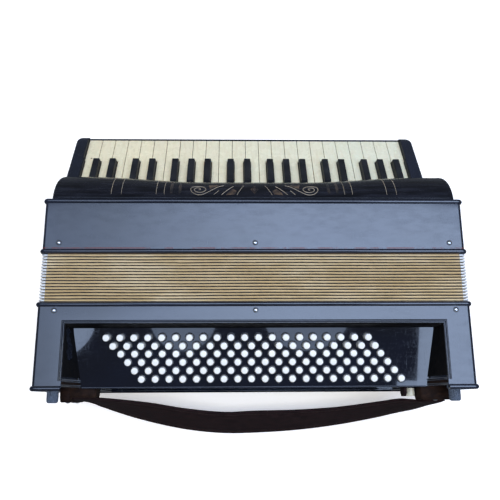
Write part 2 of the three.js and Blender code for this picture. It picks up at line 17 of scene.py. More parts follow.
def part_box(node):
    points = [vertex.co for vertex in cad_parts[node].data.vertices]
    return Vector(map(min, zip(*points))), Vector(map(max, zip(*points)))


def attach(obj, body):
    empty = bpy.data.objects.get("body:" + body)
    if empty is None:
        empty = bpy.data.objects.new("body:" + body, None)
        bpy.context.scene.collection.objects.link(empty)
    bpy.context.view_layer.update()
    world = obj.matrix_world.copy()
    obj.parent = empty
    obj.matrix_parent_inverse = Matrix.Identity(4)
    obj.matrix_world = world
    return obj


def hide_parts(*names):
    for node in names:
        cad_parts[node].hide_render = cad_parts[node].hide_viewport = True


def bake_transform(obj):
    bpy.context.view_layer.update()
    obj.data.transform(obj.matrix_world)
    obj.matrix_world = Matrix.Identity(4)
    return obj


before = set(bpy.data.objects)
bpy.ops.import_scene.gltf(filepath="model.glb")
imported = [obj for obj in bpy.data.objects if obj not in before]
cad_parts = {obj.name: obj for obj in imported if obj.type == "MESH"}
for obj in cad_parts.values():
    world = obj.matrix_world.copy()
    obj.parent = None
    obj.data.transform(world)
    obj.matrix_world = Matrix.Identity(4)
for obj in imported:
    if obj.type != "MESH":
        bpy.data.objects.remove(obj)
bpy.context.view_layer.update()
scene = bpy.context.scene

# ---- driving dimensions, in millimetres ----

MM = 0.001
HALF_WIDTH = 259
FRONT = 190
BACK = 2.27
WALL = 6
BEAD_RADIUS = 3
BEAD_SINK = 0.5
BASS_DEPTH = 96
BASS_END_BEAD = -1.5
TREBLE_NEAR = 161
TREBLE_FAR = 228
TREBLE_REAR = 276
REAR_HALF_WIDTH = 252
REAR_SIDE = 3.5
REAR_WALL_TOP = 95
CORNER_RADIUS = 4
LEAST_RADIUS = 0.3
REAR_NEAR = 219
SOUNDBOARD = ((-252.5, 252.5), (214, 220), (8.5, 183.5))
BASS_HOLLOW = ((-253, 253), (86, 120), (8, 184))
MIDDLE_Z = (FRONT + BACK) / 2

FOLDS = 16
BELLOWS_START = 99
BELLOWS_END = 158
FOLD_PITCH = (BELLOWS_END - BELLOWS_START) / FOLDS
FOLD_CORNER_RADIUS = 4
VALLEY = -17
INNER_SKIN = 1.2

COVER_CENTRE = (222, 128)
COVER_RADII = (53, 62)
COVER_SHEET = 2.5
COVER_ROUNDING = 5
COVER_DROP = 4.5
COVER_SCALLOP = 7.7

KEY_PITCH = 20
KEY_GAP = 0.6
KEYBOARD_SHIFT = -9
KEYS_END = (376, 33.5)
KEY_SLOPE = math.radians(28.9)
KEY_HEIGHT = 12
KEY_TOP_PLATE = 2.2
KEY_HEAD = 49.5
KEY_LENGTH = 140
BLACK_WIDTH = 11
BLACK_TOP_WIDTH = 9
BLACK_RISE = 10
BLACK_START = 51.5
BLACK_CAP_END = 107
CHEEK_WIDTH = 16.7
CHEEK_RISE = 7
CHEEK_ROUNDING = (9, 13)
BED_END = 380

BOARD_TILT = math.radians(11)
BOARD_NEAR_Z = 137.5
BOARD_LENGTH = 73.4
BOARD_THICKNESS = 3
BOARD_NEAR_HALF = 214.7
BOARD_FAR_HALF = 225.7
RECESS_HALF = 225
RECESS_DEPTH = 73
RECESS_BELOW_BOARD = 16

BUTTON_PITCH = 17
BUTTONS_IN_ROW = 20
BUTTON_ROWS = 6
ROW_SPACING = 10.32
LAST_ROW_Y = 10.5
BUTTON_RADIUS = 4.3
HOLE_RADIUS = 5.1
BUTTON_RISE = 3.7
TALL_BUTTON_RISE = 10.8
TALL_ROWS = 2

AIR_BUTTON = (201, 112)
AIR_HOLE_RADIUS = 6.3
FOOT_X = 245
FOOT_Z = (38, 150)
STRAP_THICKNESS = 4

casing_low, casing_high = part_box("treble_casing")
ORIGIN = Vector(((casing_low.x + casing_high.x) / 2, casing_high.y - TREBLE_REAR * MM, 0))


def at(x, y, z):
    return ORIGIN + Vector((x, y, z)) * MM


# ---- camera and light ----

CAMERA_AT = (-24.3, -16.1, 908.8)
CAMERA_PITCH = math.radians(75.99)
CAMERA_YAW = math.radians(5.74)
CAMERA_ROLL = math.radians(5.57)
SENSOR_WIDTH = 36
LENS = 43.6536


def add_camera():
    e, w, r = CAMERA_PITCH, CAMERA_YAW, CAMERA_ROLL
    forward = Vector((math.sin(w) * math.cos(e), math.cos(w) * math.cos(e), -math.sin(e)))
    level = Vector((math.cos(w), -math.sin(w), 0))
    above = level.cross(forward)
    right = math.cos(r) * level + math.sin(r) * above
    up = math.cos(r) * above - math.sin(r) * level
    data = bpy.data.cameras.new("camera")
    data.sensor_width = SENSOR_WIDTH
    data.lens = LENS
    camera = bpy.data.objects.new("camera", data)
    turn = Matrix((right, up, -forward)).transposed().to_4x4()
    camera.matrix_world = Matrix.Translation(at(*CAMERA_AT)) @ turn
    scene.collection.objects.link(camera)
    scene.camera = camera


FADE = {"From Min": 0.08, "From Max": 0.62}


def area_light(name, place, size, radiance, color, target=None, dim_side=1.0, mirrored=True,
               shape="RECTANGLE"):
    """A soft box of an even radiance. It faces straight down, or at target. dim_side is how bright its
    -X end is, as a share of the rest. A light that isn't mirrored doesn't show in glossy surfaces."""
    data = bpy.data.lights.new(name, "AREA")
    data.shape = shape
    data.size, data.size_y = size
    data.energy = radiance * math.pi * size[0] * size[1]
    data.color = color
    light = bpy.data.objects.new(name, data)
    light.location = place
    light.visible_glossy = mirrored
    if target:
        facing = Vector(target) - Vector(place)
        light.rotation_euler = facing.to_track_quat("-Z", "Y").to_euler()
    if dim_side != 1.0:
        data.use_nodes = True
        tree = data.node_tree
        across = tree.nodes.new("ShaderNodeSeparateXYZ")
        tree.links.new(tree.nodes.new("ShaderNodeNewGeometry").outputs["Parametric"], across.inputs[0])
        fade = tree.nodes.new("ShaderNodeMapRange")
        fade.interpolation_type = "SMOOTHSTEP"
        for socket, value in {**FADE, "To Min": dim_side}.items():
            fade.inputs[socket].default_value = value
        tree.links.new(across.outputs["X"], fade.inputs["Value"])
        tree.links.new(fade.outputs["Result"], tree.nodes["Emission"].inputs["Strength"])
    scene.collection.objects.link(light)


add_camera()
SKY = (0.55, 0.70, 1.0)
area_light("sky", (0, 0.25, 2.0), (2.9, 0.9), 4.9, SKY, dim_side=0.42)
area_light("sky_near_right", (1.44, -0.7, 2.0), (1.3, 0.8), 4.2, SKY)
area_light("sky_near_edge", (1.25, -1.04, 2.0), (1.1, 0.4), 3.6, SKY)
area_light("sky_near_left", (-0.88, -0.55, 2.0), (0.5, 0.4), 2.8, SKY, shape="ELLIPSE")
area_light("sky_patch_left", (-0.25, -0.55, 2.0), (0.29, 0.30), 1.5, SKY, shape="ELLIPSE")
area_light("sky_patch_right", (0.29, -0.55, 2.0), (0.37, 0.30), 1.5, SKY, shape="ELLIPSE")
FILLS = [
    ("overhead_white", (0, -0.38, 2.0), (2.2, 0.3), 6.5, (1.0, 0.96, 0.9), (0, -0.38, 0)),
    ("keys_warm", (-0.25, 2.3, 1.1), (2.0, 0.9), 3.5, (1.0, 0.94, 0.82), (0, 0.15, 0)),
    ("near_fill", (0.0, -2.2, 1.3), (1.8, 0.8), 0.5, (1.0, 0.98, 0.95), (0, -0.1, 0)),
    ("left_fill", (-2.2, 0.0, 1.1), (0.9, 1.2), 1.2, (1.0, 0.99, 0.97), (0, 0, 0)),
]
for name, place, size, radiance, color, target in FILLS:
    area_light(name, place, size, radiance, color, target, mirrored=False)

world = bpy.data.worlds.new("studio")
world.use_nodes = True
background = world.node_tree.nodes["Background"]
background.inputs["Color"].default_value = (0.82, 0.9, 1.0, 1)
background.inputs["Strength"].default_value = 0.12
scene.world = world
scene.view_settings.view_transform = "Standard"

# ---- procedural looks ----


class Look:
    """A node material in the making. Every texture reads the piece's own coordinates, in metres."""

    def __init__(self, name, **constants):
        self.material = bpy.data.materials.new(name)
        self.material.use_nodes = True
        self.tree = self.material.node_tree
        self.shader = self.tree.nodes["Principled BSDF"]
        for socket, value in constants.items():
            self.shader.inputs[socket.replace("_", " ")].default_value = value
        self.place = self.node("ShaderNodeTexCoord", output="Object")

    def node(self, kind, inputs=(), output=0, **settings):
        """Makes a node with these inputs and settings, and gives one of its outputs."""
        made = self.tree.nodes.new(kind)
        for key, value in settings.items():
            setattr(made, key, value)
        for socket, value in dict(inputs).items():
            self.link(value, made.inputs[socket])
        return made.outputs[output]

    def link(self, source, target):
        if isinstance(source, (int, float)):
            target.default_value = source
        elif isinstance(source, (tuple, Vector)):
            target.default_value = (*source, 1)[: len(target.default_value)]
        else:
            self.tree.links.new(source, target)

    def stretched(self, x, y, z):
        return self.node("ShaderNodeMapping", {"Scale": (x, y, z), "Vector": self.place})

    def noise(self, scale, detail=3, vector=None, roughness=0.5):
        inputs = {"Scale": scale, "Detail": detail, "Roughness": roughness}
        return self.node("ShaderNodeTexNoise", {**inputs, "Vector": vector or self.place})

    def cells(self, scale):
        return self.node("ShaderNodeTexVoronoi", {"Scale": scale, "Vector": self.place})

    def ramp(self, value, *stops):
        """Stops are (position, grey or colour)."""
        made = self.tree.nodes.new("ShaderNodeValToRGB")
        elements = made.color_ramp.elements
        while len(elements) < len(stops):
            elements.new(0.5)
        for element, (position, color) in zip(elements, stops):
            element.position = position
            color = color if isinstance(color, tuple) else (color,) * 3
            element.color = (*color, 1)
        self.link(value, made.inputs["Fac"])
        return made.outputs["Color"]

    def math(self, operation, a, b=0.0):
        return self.node("ShaderNodeMath", {0: a, 1: b}, operation=operation)

    def mix(self, factor, a, b):
        return self.node("ShaderNodeMix", {0: factor, 6: a, 7: b}, 2, data_type="RGBA")

    def axis(self, name):
        return self.node("ShaderNodeSeparateXYZ", {0: self.place}, name)

    def near(self, value, centre, width):
        """1 or more where value is within width of centre, falling to 0 at twice the width."""
        distance = self.math("ABSOLUTE", self.math("SUBTRACT", value, centre))
        return self.math("SUBTRACT", 2.0, self.math("DIVIDE", distance, width))

    def clamp(self, value):
        return self.node("ShaderNodeClamp", {"Value": value})

    def finish(self, color, roughness, height=None, strength=0.0, depth=0.0):
        """Links the surface, with a bump of a strength and a depth in millimetres if it has a height."""
        self.link(color, self.shader.inputs["Base Color"])
        self.link(roughness, self.shader.inputs["Roughness"])
        if height is not None:
            inputs = {"Strength": strength, "Distance": depth * MM, "Height": height}
            self.link(self.node("ShaderNodeBump", inputs), self.shader.inputs["Normal"])
        return self.material


def celluloid_look(name, dark, light, worn_at=None, mark=(0.05, 0.06, 0.085), rough=(0.1, 0.26),
                   coat_rough=0.05):
    """Polished black celluloid: cloudy colour, scratches and smears. It is worn red in a broken line at
    worn_at along Y if that is given."""
    look = Look(name, Coat_Weight=1.0, Coat_Roughness=coat_rough, IOR=1.5)
    cloud = look.noise(14, 4)
    color = look.ramp(cloud, (0.35, dark), (0.7, light))
    scratches = look.noise(30, 3, look.stretched(40, 2, 2), 0.7)
    cross = look.noise(26, 3, look.stretched(2, 45, 45), 0.7)
    marks = look.ramp(look.math("MAXIMUM", scratches, cross), (0.62, 0.0), (0.75, 1.0))
    smears = look.ramp(look.noise(60, 5, look.stretched(1, 2.5, 1)), (0.4, rough[0]), (0.75, rough[1]))
    color = look.mix(look.math("MULTIPLY", marks, 0.35), color, mark)
    if worn_at is not None:
        line = look.near(look.axis("Y"), ORIGIN.y + worn_at * MM, 0.5 * MM)
        broken = look.ramp(look.noise(70, 4), (0.42, 0.0), (0.56, 1.0))
        worn = look.clamp(look.math("MULTIPLY", line, broken))
        color = look.mix(worn, color, (0.10, 0.02, 0.015))
        look.link(look.math("SUBTRACT", 1.0, worn), look.shader.inputs["Coat Weight"])
    rough = look.math("ADD", smears, look.math("MULTIPLY", marks, 0.15))
    return look.finish(color, rough, marks, 0.12, 0.05)


WORN_HEIGHT = 157
WORN_END = 235


def cover_look():
    """The cover is duller: long streaks, and brown where hands have worn it along the crest."""
    look = Look(
        "cover_celluloid", Coat_Weight=0.35, Coat_Roughness=0.14, IOR=1.5, Specular_IOR_Level=0.35,
    )
    streaks = look.noise(16, 5, look.stretched(1.2, 9, 9), 0.65)
    color = look.ramp(streaks, (0.38, (0.0028, 0.0032, 0.0055)), (0.72, (0.013, 0.0145, 0.023)))
    ragged = look.math("MULTIPLY", look.noise(22, 4), 9 * MM)
    crest = look.near(look.math("ADD", look.axis("Z"), ragged), WORN_HEIGHT * MM, 1.6 * MM)
    ends = look.near(look.math("ABSOLUTE", look.axis("X")), WORN_END * MM, 12 * MM)
    patches = look.ramp(look.noise(34, 4), (0.42, 0.05), (0.6, 1.0))
    worn = look.math("MULTIPLY", look.clamp(crest), patches)
    worn = look.math("MULTIPLY", worn, look.math("ADD", 0.45, look.clamp(ends)))
    color = look.mix(look.clamp(worn), color, (0.10, 0.06, 0.04))
    rough = look.ramp(streaks, (0.3, 0.18), (0.8, 0.36))
    return look.finish(color, rough, streaks, 0.12, 0.15)


KEY_CHIP = (-239.6, 337.4, 54.8)


def ivory_look():
    """Yellowed celluloid key tops, each a little different, whiter and greener to the right."""
    look = Look("ivory", Coat_Weight=0.5, Coat_Roughness=0.12, Subsurface_Weight=0.04)
    across = look.math("ADD", look.axis("X"), 0.4 - KEYBOARD_SHIFT * MM - ORIGIN.x)
    number = look.math("FLOOR", look.math("DIVIDE", across, KEY_PITCH * MM))
    own = look.node("ShaderNodeTexWhiteNoise", {"W": number}, noise_dimensions="1D")
    yellow = look.ramp(own, (0.0, (0.84, 0.745, 0.51)), (1.0, (0.79, 0.71, 0.50)))
    clear = look.ramp(own, (0.0, (0.74, 0.75, 0.60)), (1.0, (0.80, 0.76, 0.58)))
    side = look.ramp(look.math("ADD", look.axis("X"), 0.5), (0.35, 0.0), (0.75, 1.0))
    color = look.mix(side, yellow, clear)
    grain = look.noise(45, 5, look.stretched(6, 1, 1))
    color = look.mix(look.ramp(grain, (0.45, 0.0), (0.8, 0.5)), color, (0.66, 0.56, 0.36))
    inputs = {0: look.place, 1: at(*KEY_CHIP)}
    chip = look.node("ShaderNodeVectorMath", inputs, "Value", operation="DISTANCE")
    ragged = look.math("MULTIPLY", look.noise(900, 2), 1.5 * MM)
    mark = look.math("LESS_THAN", look.math("ADD", chip, ragged), 2.0 * MM)
    color = look.mix(mark, color, (0.16, 0.10, 0.05))
    rough = look.ramp(look.noise(80, 4), (0.3, 0.2), (0.8, 0.38))
    return look.finish(color, rough, grain, 0.05, 0.1)


def wood_look(name, light, dark):
    look = Look(name)
    grain = look.noise(9, 5, look.stretched(1, 14, 14), 0.6)
    pores = look.noise(220, 3, look.stretched(1, 8, 8))
    color = look.ramp(grain, (0.3, dark), (0.7, light))
    color = look.mix(look.ramp(pores, (0.55, 0.0), (0.7, 0.6)), color, dark)
    return look.finish(color, look.ramp(grain, (0.2, 0.45), (0.8, 0.65)), pores, 0.25, 0.3)


def bellows_look():
    """Cream cloth on the folds, stained along them, and painted shade, a dark brown, in the valleys
    between them.
    """
    look = Look("bellows_cloth", Sheen_Weight=0.15, Sheen_Roughness=0.6)
    stain = look.noise(13, 5, look.stretched(1, 2.5, 1), 0.6)
    weave = look.noise(900, 2, look.stretched(1, 3, 1))
    cloth = look.ramp(
        stain, (0.3, (0.49, 0.335, 0.14)), (0.5, (0.60, 0.44, 0.22)), (0.7, (0.75, 0.60, 0.36))
    )
    cloth = look.mix(look.ramp(weave, (0.45, 0.0), (0.7, 0.35)), cloth, (0.34, 0.23, 0.11))
    # Painted shade: the cloth turns dark brown the further down a valley between folds it lies, broken
    # up by noise.
    depth = look.node("ShaderNodeAttribute", output="Fac", attribute_name="depth")
    painted_valley_shade = look.ramp(depth, (0.012, 0.0), (0.06, 1.0))
    uneven_shade = look.ramp(look.noise(160, 4, look.stretched(1, 3, 3)), (0.35, 0.55), (0.6, 1.0))
    color = look.mix(look.math("MULTIPLY", painted_valley_shade, uneven_shade), cloth, (0.07, 0.042, 0.022))
    return look.finish(color, 0.8, look.math("ADD", weave, stain), 0.35, 0.12)


def metal_look(name, color, tarnish, rough, metallic=1.0):
    look = Look(name, Metallic=metallic)
    spots = look.noise(260, 4)
    shade = look.ramp(spots, (0.4, color), (0.75, tarnish))
    return look.finish(shade, look.ramp(spots, (0.3, rough[0]), (0.8, rough[1])), spots, 0.1, 0.05)


def leather_look(name, dark, light, grain_scale=700):
    look = Look(name, Specular_IOR_Level=0.06)
    grain = look.cells(grain_scale)
    creases = look.noise(90, 5, look.stretched(1, 2, 2), 0.6)
    color = look.ramp(creases, (0.35, dark), (0.7, light))
    color = look.mix(look.ramp(grain, (0.2, 0.35), (0.6, 0.0)), color, dark)
    height = look.math("ADD", grain, look.math("MULTIPLY", creases, 0.8))
    return look.finish(color, look.ramp(creases, (0.3, 0.48), (0.8, 0.72)), height, 0.5, 0.25)


def rubber_look():
    look = Look("rubber")
    specks = look.noise(1500, 2)
    color = look.ramp(specks, (0.42, (0.025, 0.032, 0.045)), (0.6, (0.16, 0.20, 0.27)))
    return look.finish(color, look.ramp(specks, (0.3, 0.55), (0.8, 0.85)), specks, 0.5, 0.3)


def plain_plastic_look(name, dark, light, rough, coat, specular=0.5):
    look = Look(name, Coat_Weight=coat, Coat_Roughness=0.06, Specular_IOR_Level=specular)
    cloud = look.noise(55, 4)
    fine = look.noise(700, 3)
    color = look.ramp(cloud, (0.35, dark), (0.7, light))
    return look.finish(color, look.ramp(fine, (0.3, rough[0]), (0.8, rough[1])), fine, 0.04, 0.05)


def fret_look(name, dark, light):
    """Brown grille cloth seen through the cover's cut-outs."""
    look = Look(name, Sheen_Weight=0.06, Sheen_Roughness=0.5)
    threads = look.noise(420, 2, look.stretched(3, 1, 1))
    blotch = look.noise(120, 4)
    color = look.ramp(blotch, (0.4, dark), (0.62, light))
    color = look.mix(look.ramp(threads, (0.45, 0.0), (0.65, 0.6)), color, dark)
    return look.finish(color, 0.8, threads, 0.6, 0.3)


BLACK_BLUE = ((0.004, 0.006, 0.013), (0.009, 0.013, 0.027))
CELLULOID = celluloid_look("celluloid", *BLACK_BLUE)
TREBLE_CELLULOID = celluloid_look("treble_celluloid", *BLACK_BLUE, worn_at=TREBLE_NEAR + 4)
BOARD = celluloid_look(
    "board_celluloid", (0.0012, 0.0022, 0.0075), (0.0024, 0.0042, 0.0125),
    mark=(0.02, 0.024, 0.035), rough=(0.03, 0.08), coat_rough=0.015,
)
COVER = cover_look()
IVORY = ivory_look()
EBONY = plain_plastic_look(
    "ebony", (0.012, 0.013, 0.016), (0.022, 0.024, 0.028), (0.4, 0.6), 0.0, 0.1
)
WOOD = wood_look("wood", (0.42, 0.27, 0.14), (0.24, 0.13, 0.06))
BELLOWS = bellows_look()
SILVER = metal_look("silver", (0.86, 0.86, 0.85), (0.66, 0.65, 0.62), (0.22, 0.42), 0.3)
CHROME = metal_look("chrome", (0.86, 0.87, 0.88), (0.60, 0.60, 0.60), (0.08, 0.22))
STEEL = metal_look("steel", (0.55, 0.56, 0.58), (0.32, 0.31, 0.30), (0.3, 0.5))
GILT = plain_plastic_look("gilt", (0.34, 0.28, 0.2), (0.52, 0.44, 0.33), (0.4, 0.6), 0.0, 0.2)
WHITE = plain_plastic_look("button_white", (0.96, 0.92, 0.83), (1.0, 0.97, 0.89), (0.1, 0.22), 1.0)
CREAM = plain_plastic_look("cream", (0.72, 0.68, 0.50), (0.82, 0.78, 0.60), (0.2, 0.35), 0.6)
LEATHER = leather_look("leather", (0.0115, 0.006, 0.0065), (0.028, 0.0145, 0.0145))
LINING = leather_look("lining", (0.003, 0.003, 0.0035), (0.012, 0.0105, 0.010))
BROWN_LEATHER = leather_look("brown_leather", (0.010, 0.006, 0.005), (0.034, 0.018, 0.012))
THREAD = leather_look("thread", (0.03, 0.018, 0.015), (0.06, 0.038, 0.032), 2500)
RUBBER = rubber_look()
GRILLE = fret_look("grille_cloth", (0.018, 0.012, 0.01), (0.11, 0.07, 0.04))
SLOT_CLOTH = fret_look("slot_cloth", (0.003, 0.003, 0.004), (0.05, 0.034, 0.024))

# ---- shapes ----


class Shape:
    """Vertices in millimetres and faces with a material number each."""

    def __init__(self):
        self.vertices = []
        self.faces = []
        self.numbers = []

    def add(self, solid, number=0):
        """number is one material number, or a list of one for each face."""
        vertices, faces = solid
        start = len(self.vertices)
        self.vertices += [tuple(v) for v in vertices]
        self.faces += [[start + i for i in face] for face in faces]
        self.numbers += number if isinstance(number, list) else [number] * len(faces)
        return self


def circle(count):
    """The (cosine, sine) of even turns round a circle."""
    return [(math.cos(2 * math.pi * i / count), math.sin(2 * math.pi * i / count)) for i in range(count)]


def loft(rings, closed=False, caps=True):
    """Skins rings of equal length. A closed loft joins its last ring to its first."""
    count = len(rings[0])
    vertices = [v for ring in rings for v in ring]
    faces = []
    spans = len(rings) if closed else len(rings) - 1
    for i in range(spans):
        low, high = i * count, ((i + 1) % len(rings)) * count
        for j in range(count):
            k = (j + 1) % count
            faces.append([low + j, low + k, high + k, high + j])
    if caps and not closed:
        faces.append(list(range(count))[::-1])
        faces.append([len(vertices) - count + j for j in range(count)])
    return vertices, faces


def prism_x(outline, x0, x1):
    return loft([[(x, y, z) for y, z in outline] for x in (x0, x1)])


def block(x, y, z):
    return prism_x([(y[0], z[0]), (y[1], z[0]), (y[1], z[1]), (y[0], z[1])], *x)


def turned_ring(profile, place, sides):
    """Turns a closed profile of (radius, height) round an axis. place(u, v, height) gives the points."""
    return loft([[place(r * c, r * s, h) for r, h in profile] for c, s in circle(sides)], closed=True)


def lathe(profile, base, axis, sides=24):
    """Turns a profile of (radius, height) round axis from base. It starts and ends at radius 0."""
    axis = Vector(axis).normalized()
    first = axis.orthogonal().normalized()
    second = axis.cross(first)
    base = Vector(base)
    vertices = [base + axis * profile[0][1]]
    for radius, height in profile[1:-1]:
        vertices += [base + (first * c + second * s) * radius + axis * height for c, s in circle(sides)]
    vertices.append(base + axis * profile[-1][1])
    faces = []
    rings = len(profile) - 2
    for i in range(sides):
        k = (i + 1) % sides
        faces.append([0, 1 + k, 1 + i])
        for r in range(rings - 1):
            low, high = 1 + r * sides, 1 + (r + 1) * sides
            faces.append([low + i, low + k, high + k, high + i])
        last = 1 + (rings - 1) * sides
        faces.append([last + i, last + k, len(vertices) - 1])
    return vertices, faces


def new_object(name, shape, materials):
    """Makes an object of a Shape, or of one solid."""
    shape = Shape().add(shape) if isinstance(shape, tuple) else shape
    mesh = bpy.data.meshes.new(name)
    mesh.from_pydata([at(*v) for v in shape.vertices], [], shape.faces)
    for material in materials:
        mesh.materials.append(material)
    mesh.polygons.foreach_set("material_index", shape.numbers)
    work = bmesh.new()
    work.from_mesh(mesh)
    bmesh.ops.recalc_face_normals(work, faces=work.faces)
    work.to_mesh(mesh)
    work.free()
    obj = bpy.data.objects.new(name, mesh)
    scene.collection.objects.link(obj)
    return obj


def cut(obj, shape):
    """Takes a Shape or one solid away from obj's mesh."""
    cutter = new_object("cutter", shape, [])
    step = obj.modifiers.new("cut", "BOOLEAN")
    step.operation = "DIFFERENCE"
    step.solver = "EXACT"
    step.object = cutter
    bpy.context.view_layer.update()
    result = bpy.data.meshes.new_from_object(obj.evaluated_get(bpy.context.evaluated_depsgraph_get()))
    obj.modifiers.clear()
    obj.data = result
    bpy.data.objects.remove(cutter)


def smooth(obj, angle=35):
    obj.data.shade_smooth()
    obj.data.set_sharp_from_angle(angle=math.radians(angle))


def soften(obj, width):
    """Rounds the sharp edges."""
    step = obj.modifiers.new("edges", "BEVEL")
    step.width = width * MM
    step.segments = 3
    step.limit_method = "ANGLE"
    step.angle_limit = math.radians(32)
    step.harden_normals = True


def piece(name, shape, material, body, replaces=(), edges=0, angle=35, mirrored=True):
    """Makes a Shape or one solid into a piece, or finishes a made object as one. A piece that isn't
    mirrored shows in no reflection."""
    materials = material if isinstance(material, list) else [material]
    obj = shape if isinstance(shape, bpy.types.Object) else new_object(name, shape, materials)
    smooth(obj, angle)
    if edges:
        soften(obj, edges)
    obj.visible_glossy = mirrored
    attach(obj, body)
    if replaces:
        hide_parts(*replaces)


# ---- rings round the casings ----


def round_corner(x, z, sx, sz, radius, steps, forward):
    """Points of the corner at (x, z) on the side (sx, sz), from the front or back side to the flank."""
    x -= sx * radius
    z -= sz * radius
    turns = [math.pi / 2 * i / steps for i in range(steps + 1)]
    points = [(x + sx * radius * math.sin(t), z + sz * radius * math.cos(t)) for t in turns]
    return points if forward else points[::-1]


def casing_path(out, radius=CORNER_RADIUS, gap=0, steps=5, along=1):
    """(x, z) points round the casing, from its front's middle by +X, at a distance out of its faces."""
    half, top, low = HALF_WIDTH + out, FRONT + out, BACK - out
    radius = max(radius + out, LEAST_RADIUS)
    points = []
    last_x, last_z = gap, top
    for sx, sz, forward in ((1, 1, True), (1, -1, False), (-1, -1, True), (-1, 1, False)):
        z = top if sz > 0 else low
        corner = round_corner(sx * half, z, sx, sz, radius, steps, forward)
        for i in range(along):
            t = i / along
            points.append((last_x + (corner[0][0] - last_x) * t, last_z + (corner[0][1] - last_z) * t))
        points += corner
        last_x, last_z = corner[-1]
    for i in range(1, along + (1 if gap else 0)):
        points.append((last_x + (-gap - last_x) * i / along, top))
    return points


def casing_ring(section, **options):
    """A ring round the casing. The section is a closed list of (y, out)."""
    paths = [casing_path(out, **options) for _, out in section]
    rings = [[(x, y, z) for (x, z), (y, _) in zip(points, section)] for points in zip(*paths)]
    return loft(rings, closed=not options.get("gap"))


def bead_section(y):
    return [(y + BEAD_RADIUS * c, BEAD_RADIUS * s - BEAD_SINK) for c, s in circle(14)]


def bead(y, **options):
    return casing_ring(bead_section(y), **options)


# ---- treble casing ----


def treble_casing():
    shell = casing_ring([
        (TREBLE_NEAR, 0), (TREBLE_NEAR, -WALL), (TREBLE_FAR, -WALL), (TREBLE_FAR, 0),
    ])
    piece("treble_shell", shell, TREBLE_CELLULOID, "treble", ["treble_casing"], edges=0.5)
    beads = Shape().add(bead(TREBLE_NEAR)).add(bead(TREBLE_FAR - BEAD_RADIUS))
    piece("treble_beads", beads, CELLULOID, "treble", angle=60)
    rear = Shape()
    low, top = BACK + 0.5, 62
    far = TREBLE_REAR - 0.5
    inner_half = REAR_HALF_WIDTH - REAR_SIDE
    for side in (-1, 1):
        edges = sorted((side * REAR_HALF_WIDTH, side * inner_half))
        rear.add(block(edges, (REAR_NEAR, TREBLE_REAR), (low, REAR_WALL_TOP)))
    tray = [(REAR_NEAR, low), (far, low), (far, top), (far - WALL, top), (far - WALL, low + WALL),
            (REAR_NEAR, low + WALL)]
    rear.add(prism_x(tray, -inner_half, inner_half))
    piece("treble_rear", rear, CELLULOID, "treble", edges=0.6)
    board = block(*SOUNDBOARD)
    piece("treble_soundboard", board, WOOD, "treble", edges=0.4, mirrored=False)


LEFT_PIN = -239
PIN = [(0, 1.9), (1.2, 1.8), (2.3, 1.3), (2.9, 0.6), (3.0, 0.1), (2.4, -0.4), (0, -0.4)]
WASHER = [(0, 0.25), (3.3, 0.25), (3.5, 0.1), (3.5, -0.3), (0, -0.3)]


def pins(body, y, right):
    """The bellows pins of a casing, in its front and its back, and their black washers."""
    shape = Shape()
    for x in (LEFT_PIN, 0, right):
        for z, up in ((FRONT, 1), (BACK, -1)):
            for number, profile in enumerate((PIN, WASHER)):
                shape.add(lathe(profile, (x, y, z), (0, 0, up), 20), number)
    piece(f"{body}_pins", shape, [CHROME, CELLULOID], body)


# ---- bass casing ----


def board_point(x, along, above):
    """A point over the button board, which leans back by BOARD_TILT."""
    y = along * math.cos(BOARD_TILT) - above * math.sin(BOARD_TILT)
    z = BOARD_NEAR_Z + along * math.sin(BOARD_TILT) + above * math.cos(BOARD_TILT)
    return x, y, z


def board_line(y):
    """The height of the button board's top at y."""
    return BOARD_NEAR_Z + y * math.tan(BOARD_TILT)


def board_half(y):
    """Half of the button board's width at y."""
    return BOARD_NEAR_HALF + (BOARD_FAR_HALF - BOARD_NEAR_HALF) * y / RECESS_DEPTH


def bass_casing():
    outline = casing_path(0)
    rings = [[(x, y, z) for x, z in outline] for y in (0, BASS_DEPTH)]
    body = new_object("bass_case", loft(rings), [CELLULOID])
    over = 20
    rings = []
    for y in (-over, RECESS_DEPTH):
        half = min(board_half(max(y, 0)), RECESS_HALF - 0.2) + 0.2
        floor = board_line(y) - 0.3
        right = [(RECESS_HALF, y, FRONT + over), (RECESS_HALF, y, FRONT), (half, y, floor)]
        rings.append([(-x, y, z) for x, y, z in right] + right[::-1])
    cut(body, loft(rings))
    rings = []
    for y, half in ((3, BOARD_NEAR_HALF - 6), (RECESS_DEPTH - 3, BOARD_NEAR_HALF - 3)):
        low = board_line(y) - RECESS_BELOW_BOARD
        rings.append([(-half, y, low), (half, y, low), (half, y, low + 40), (-half, y, low + 40)])
    cut(body, loft(rings))
    cut(body, block(*BASS_HOLLOW))
    hole = [(0, -12), (AIR_HOLE_RADIUS, -12), (AIR_HOLE_RADIUS, 30), (0, 30)]
    cut(body, lathe(hole, (AIR_BUTTON[0], 0, AIR_BUTTON[1]), (0, 1, 0), 28))
    # It isn't mirrored, so that the board mirrors the sky right up to the recess's sides.
    piece("bass_case", body, CELLULOID, "bass", ["bass_casing"], edges=0.9,
          mirrored=False)
    join = HALF_WIDTH - 12
    beads = Shape().add(bead(BASS_END_BEAD, gap=join)).add(bead(BASS_DEPTH))
    piece("bass_beads", beads, CELLULOID, "bass", angle=60)
    ends = Shape()
    section = [(y, FRONT + out) for y, out in bead_section(BASS_END_BEAD)]
    for side in (-1, 1):
        ends.add(prism_x(section, side * (RECESS_HALF + 0.5), side * join))
    piece("bass_bead_ends", ends, CELLULOID, "bass", angle=60, mirrored=False)


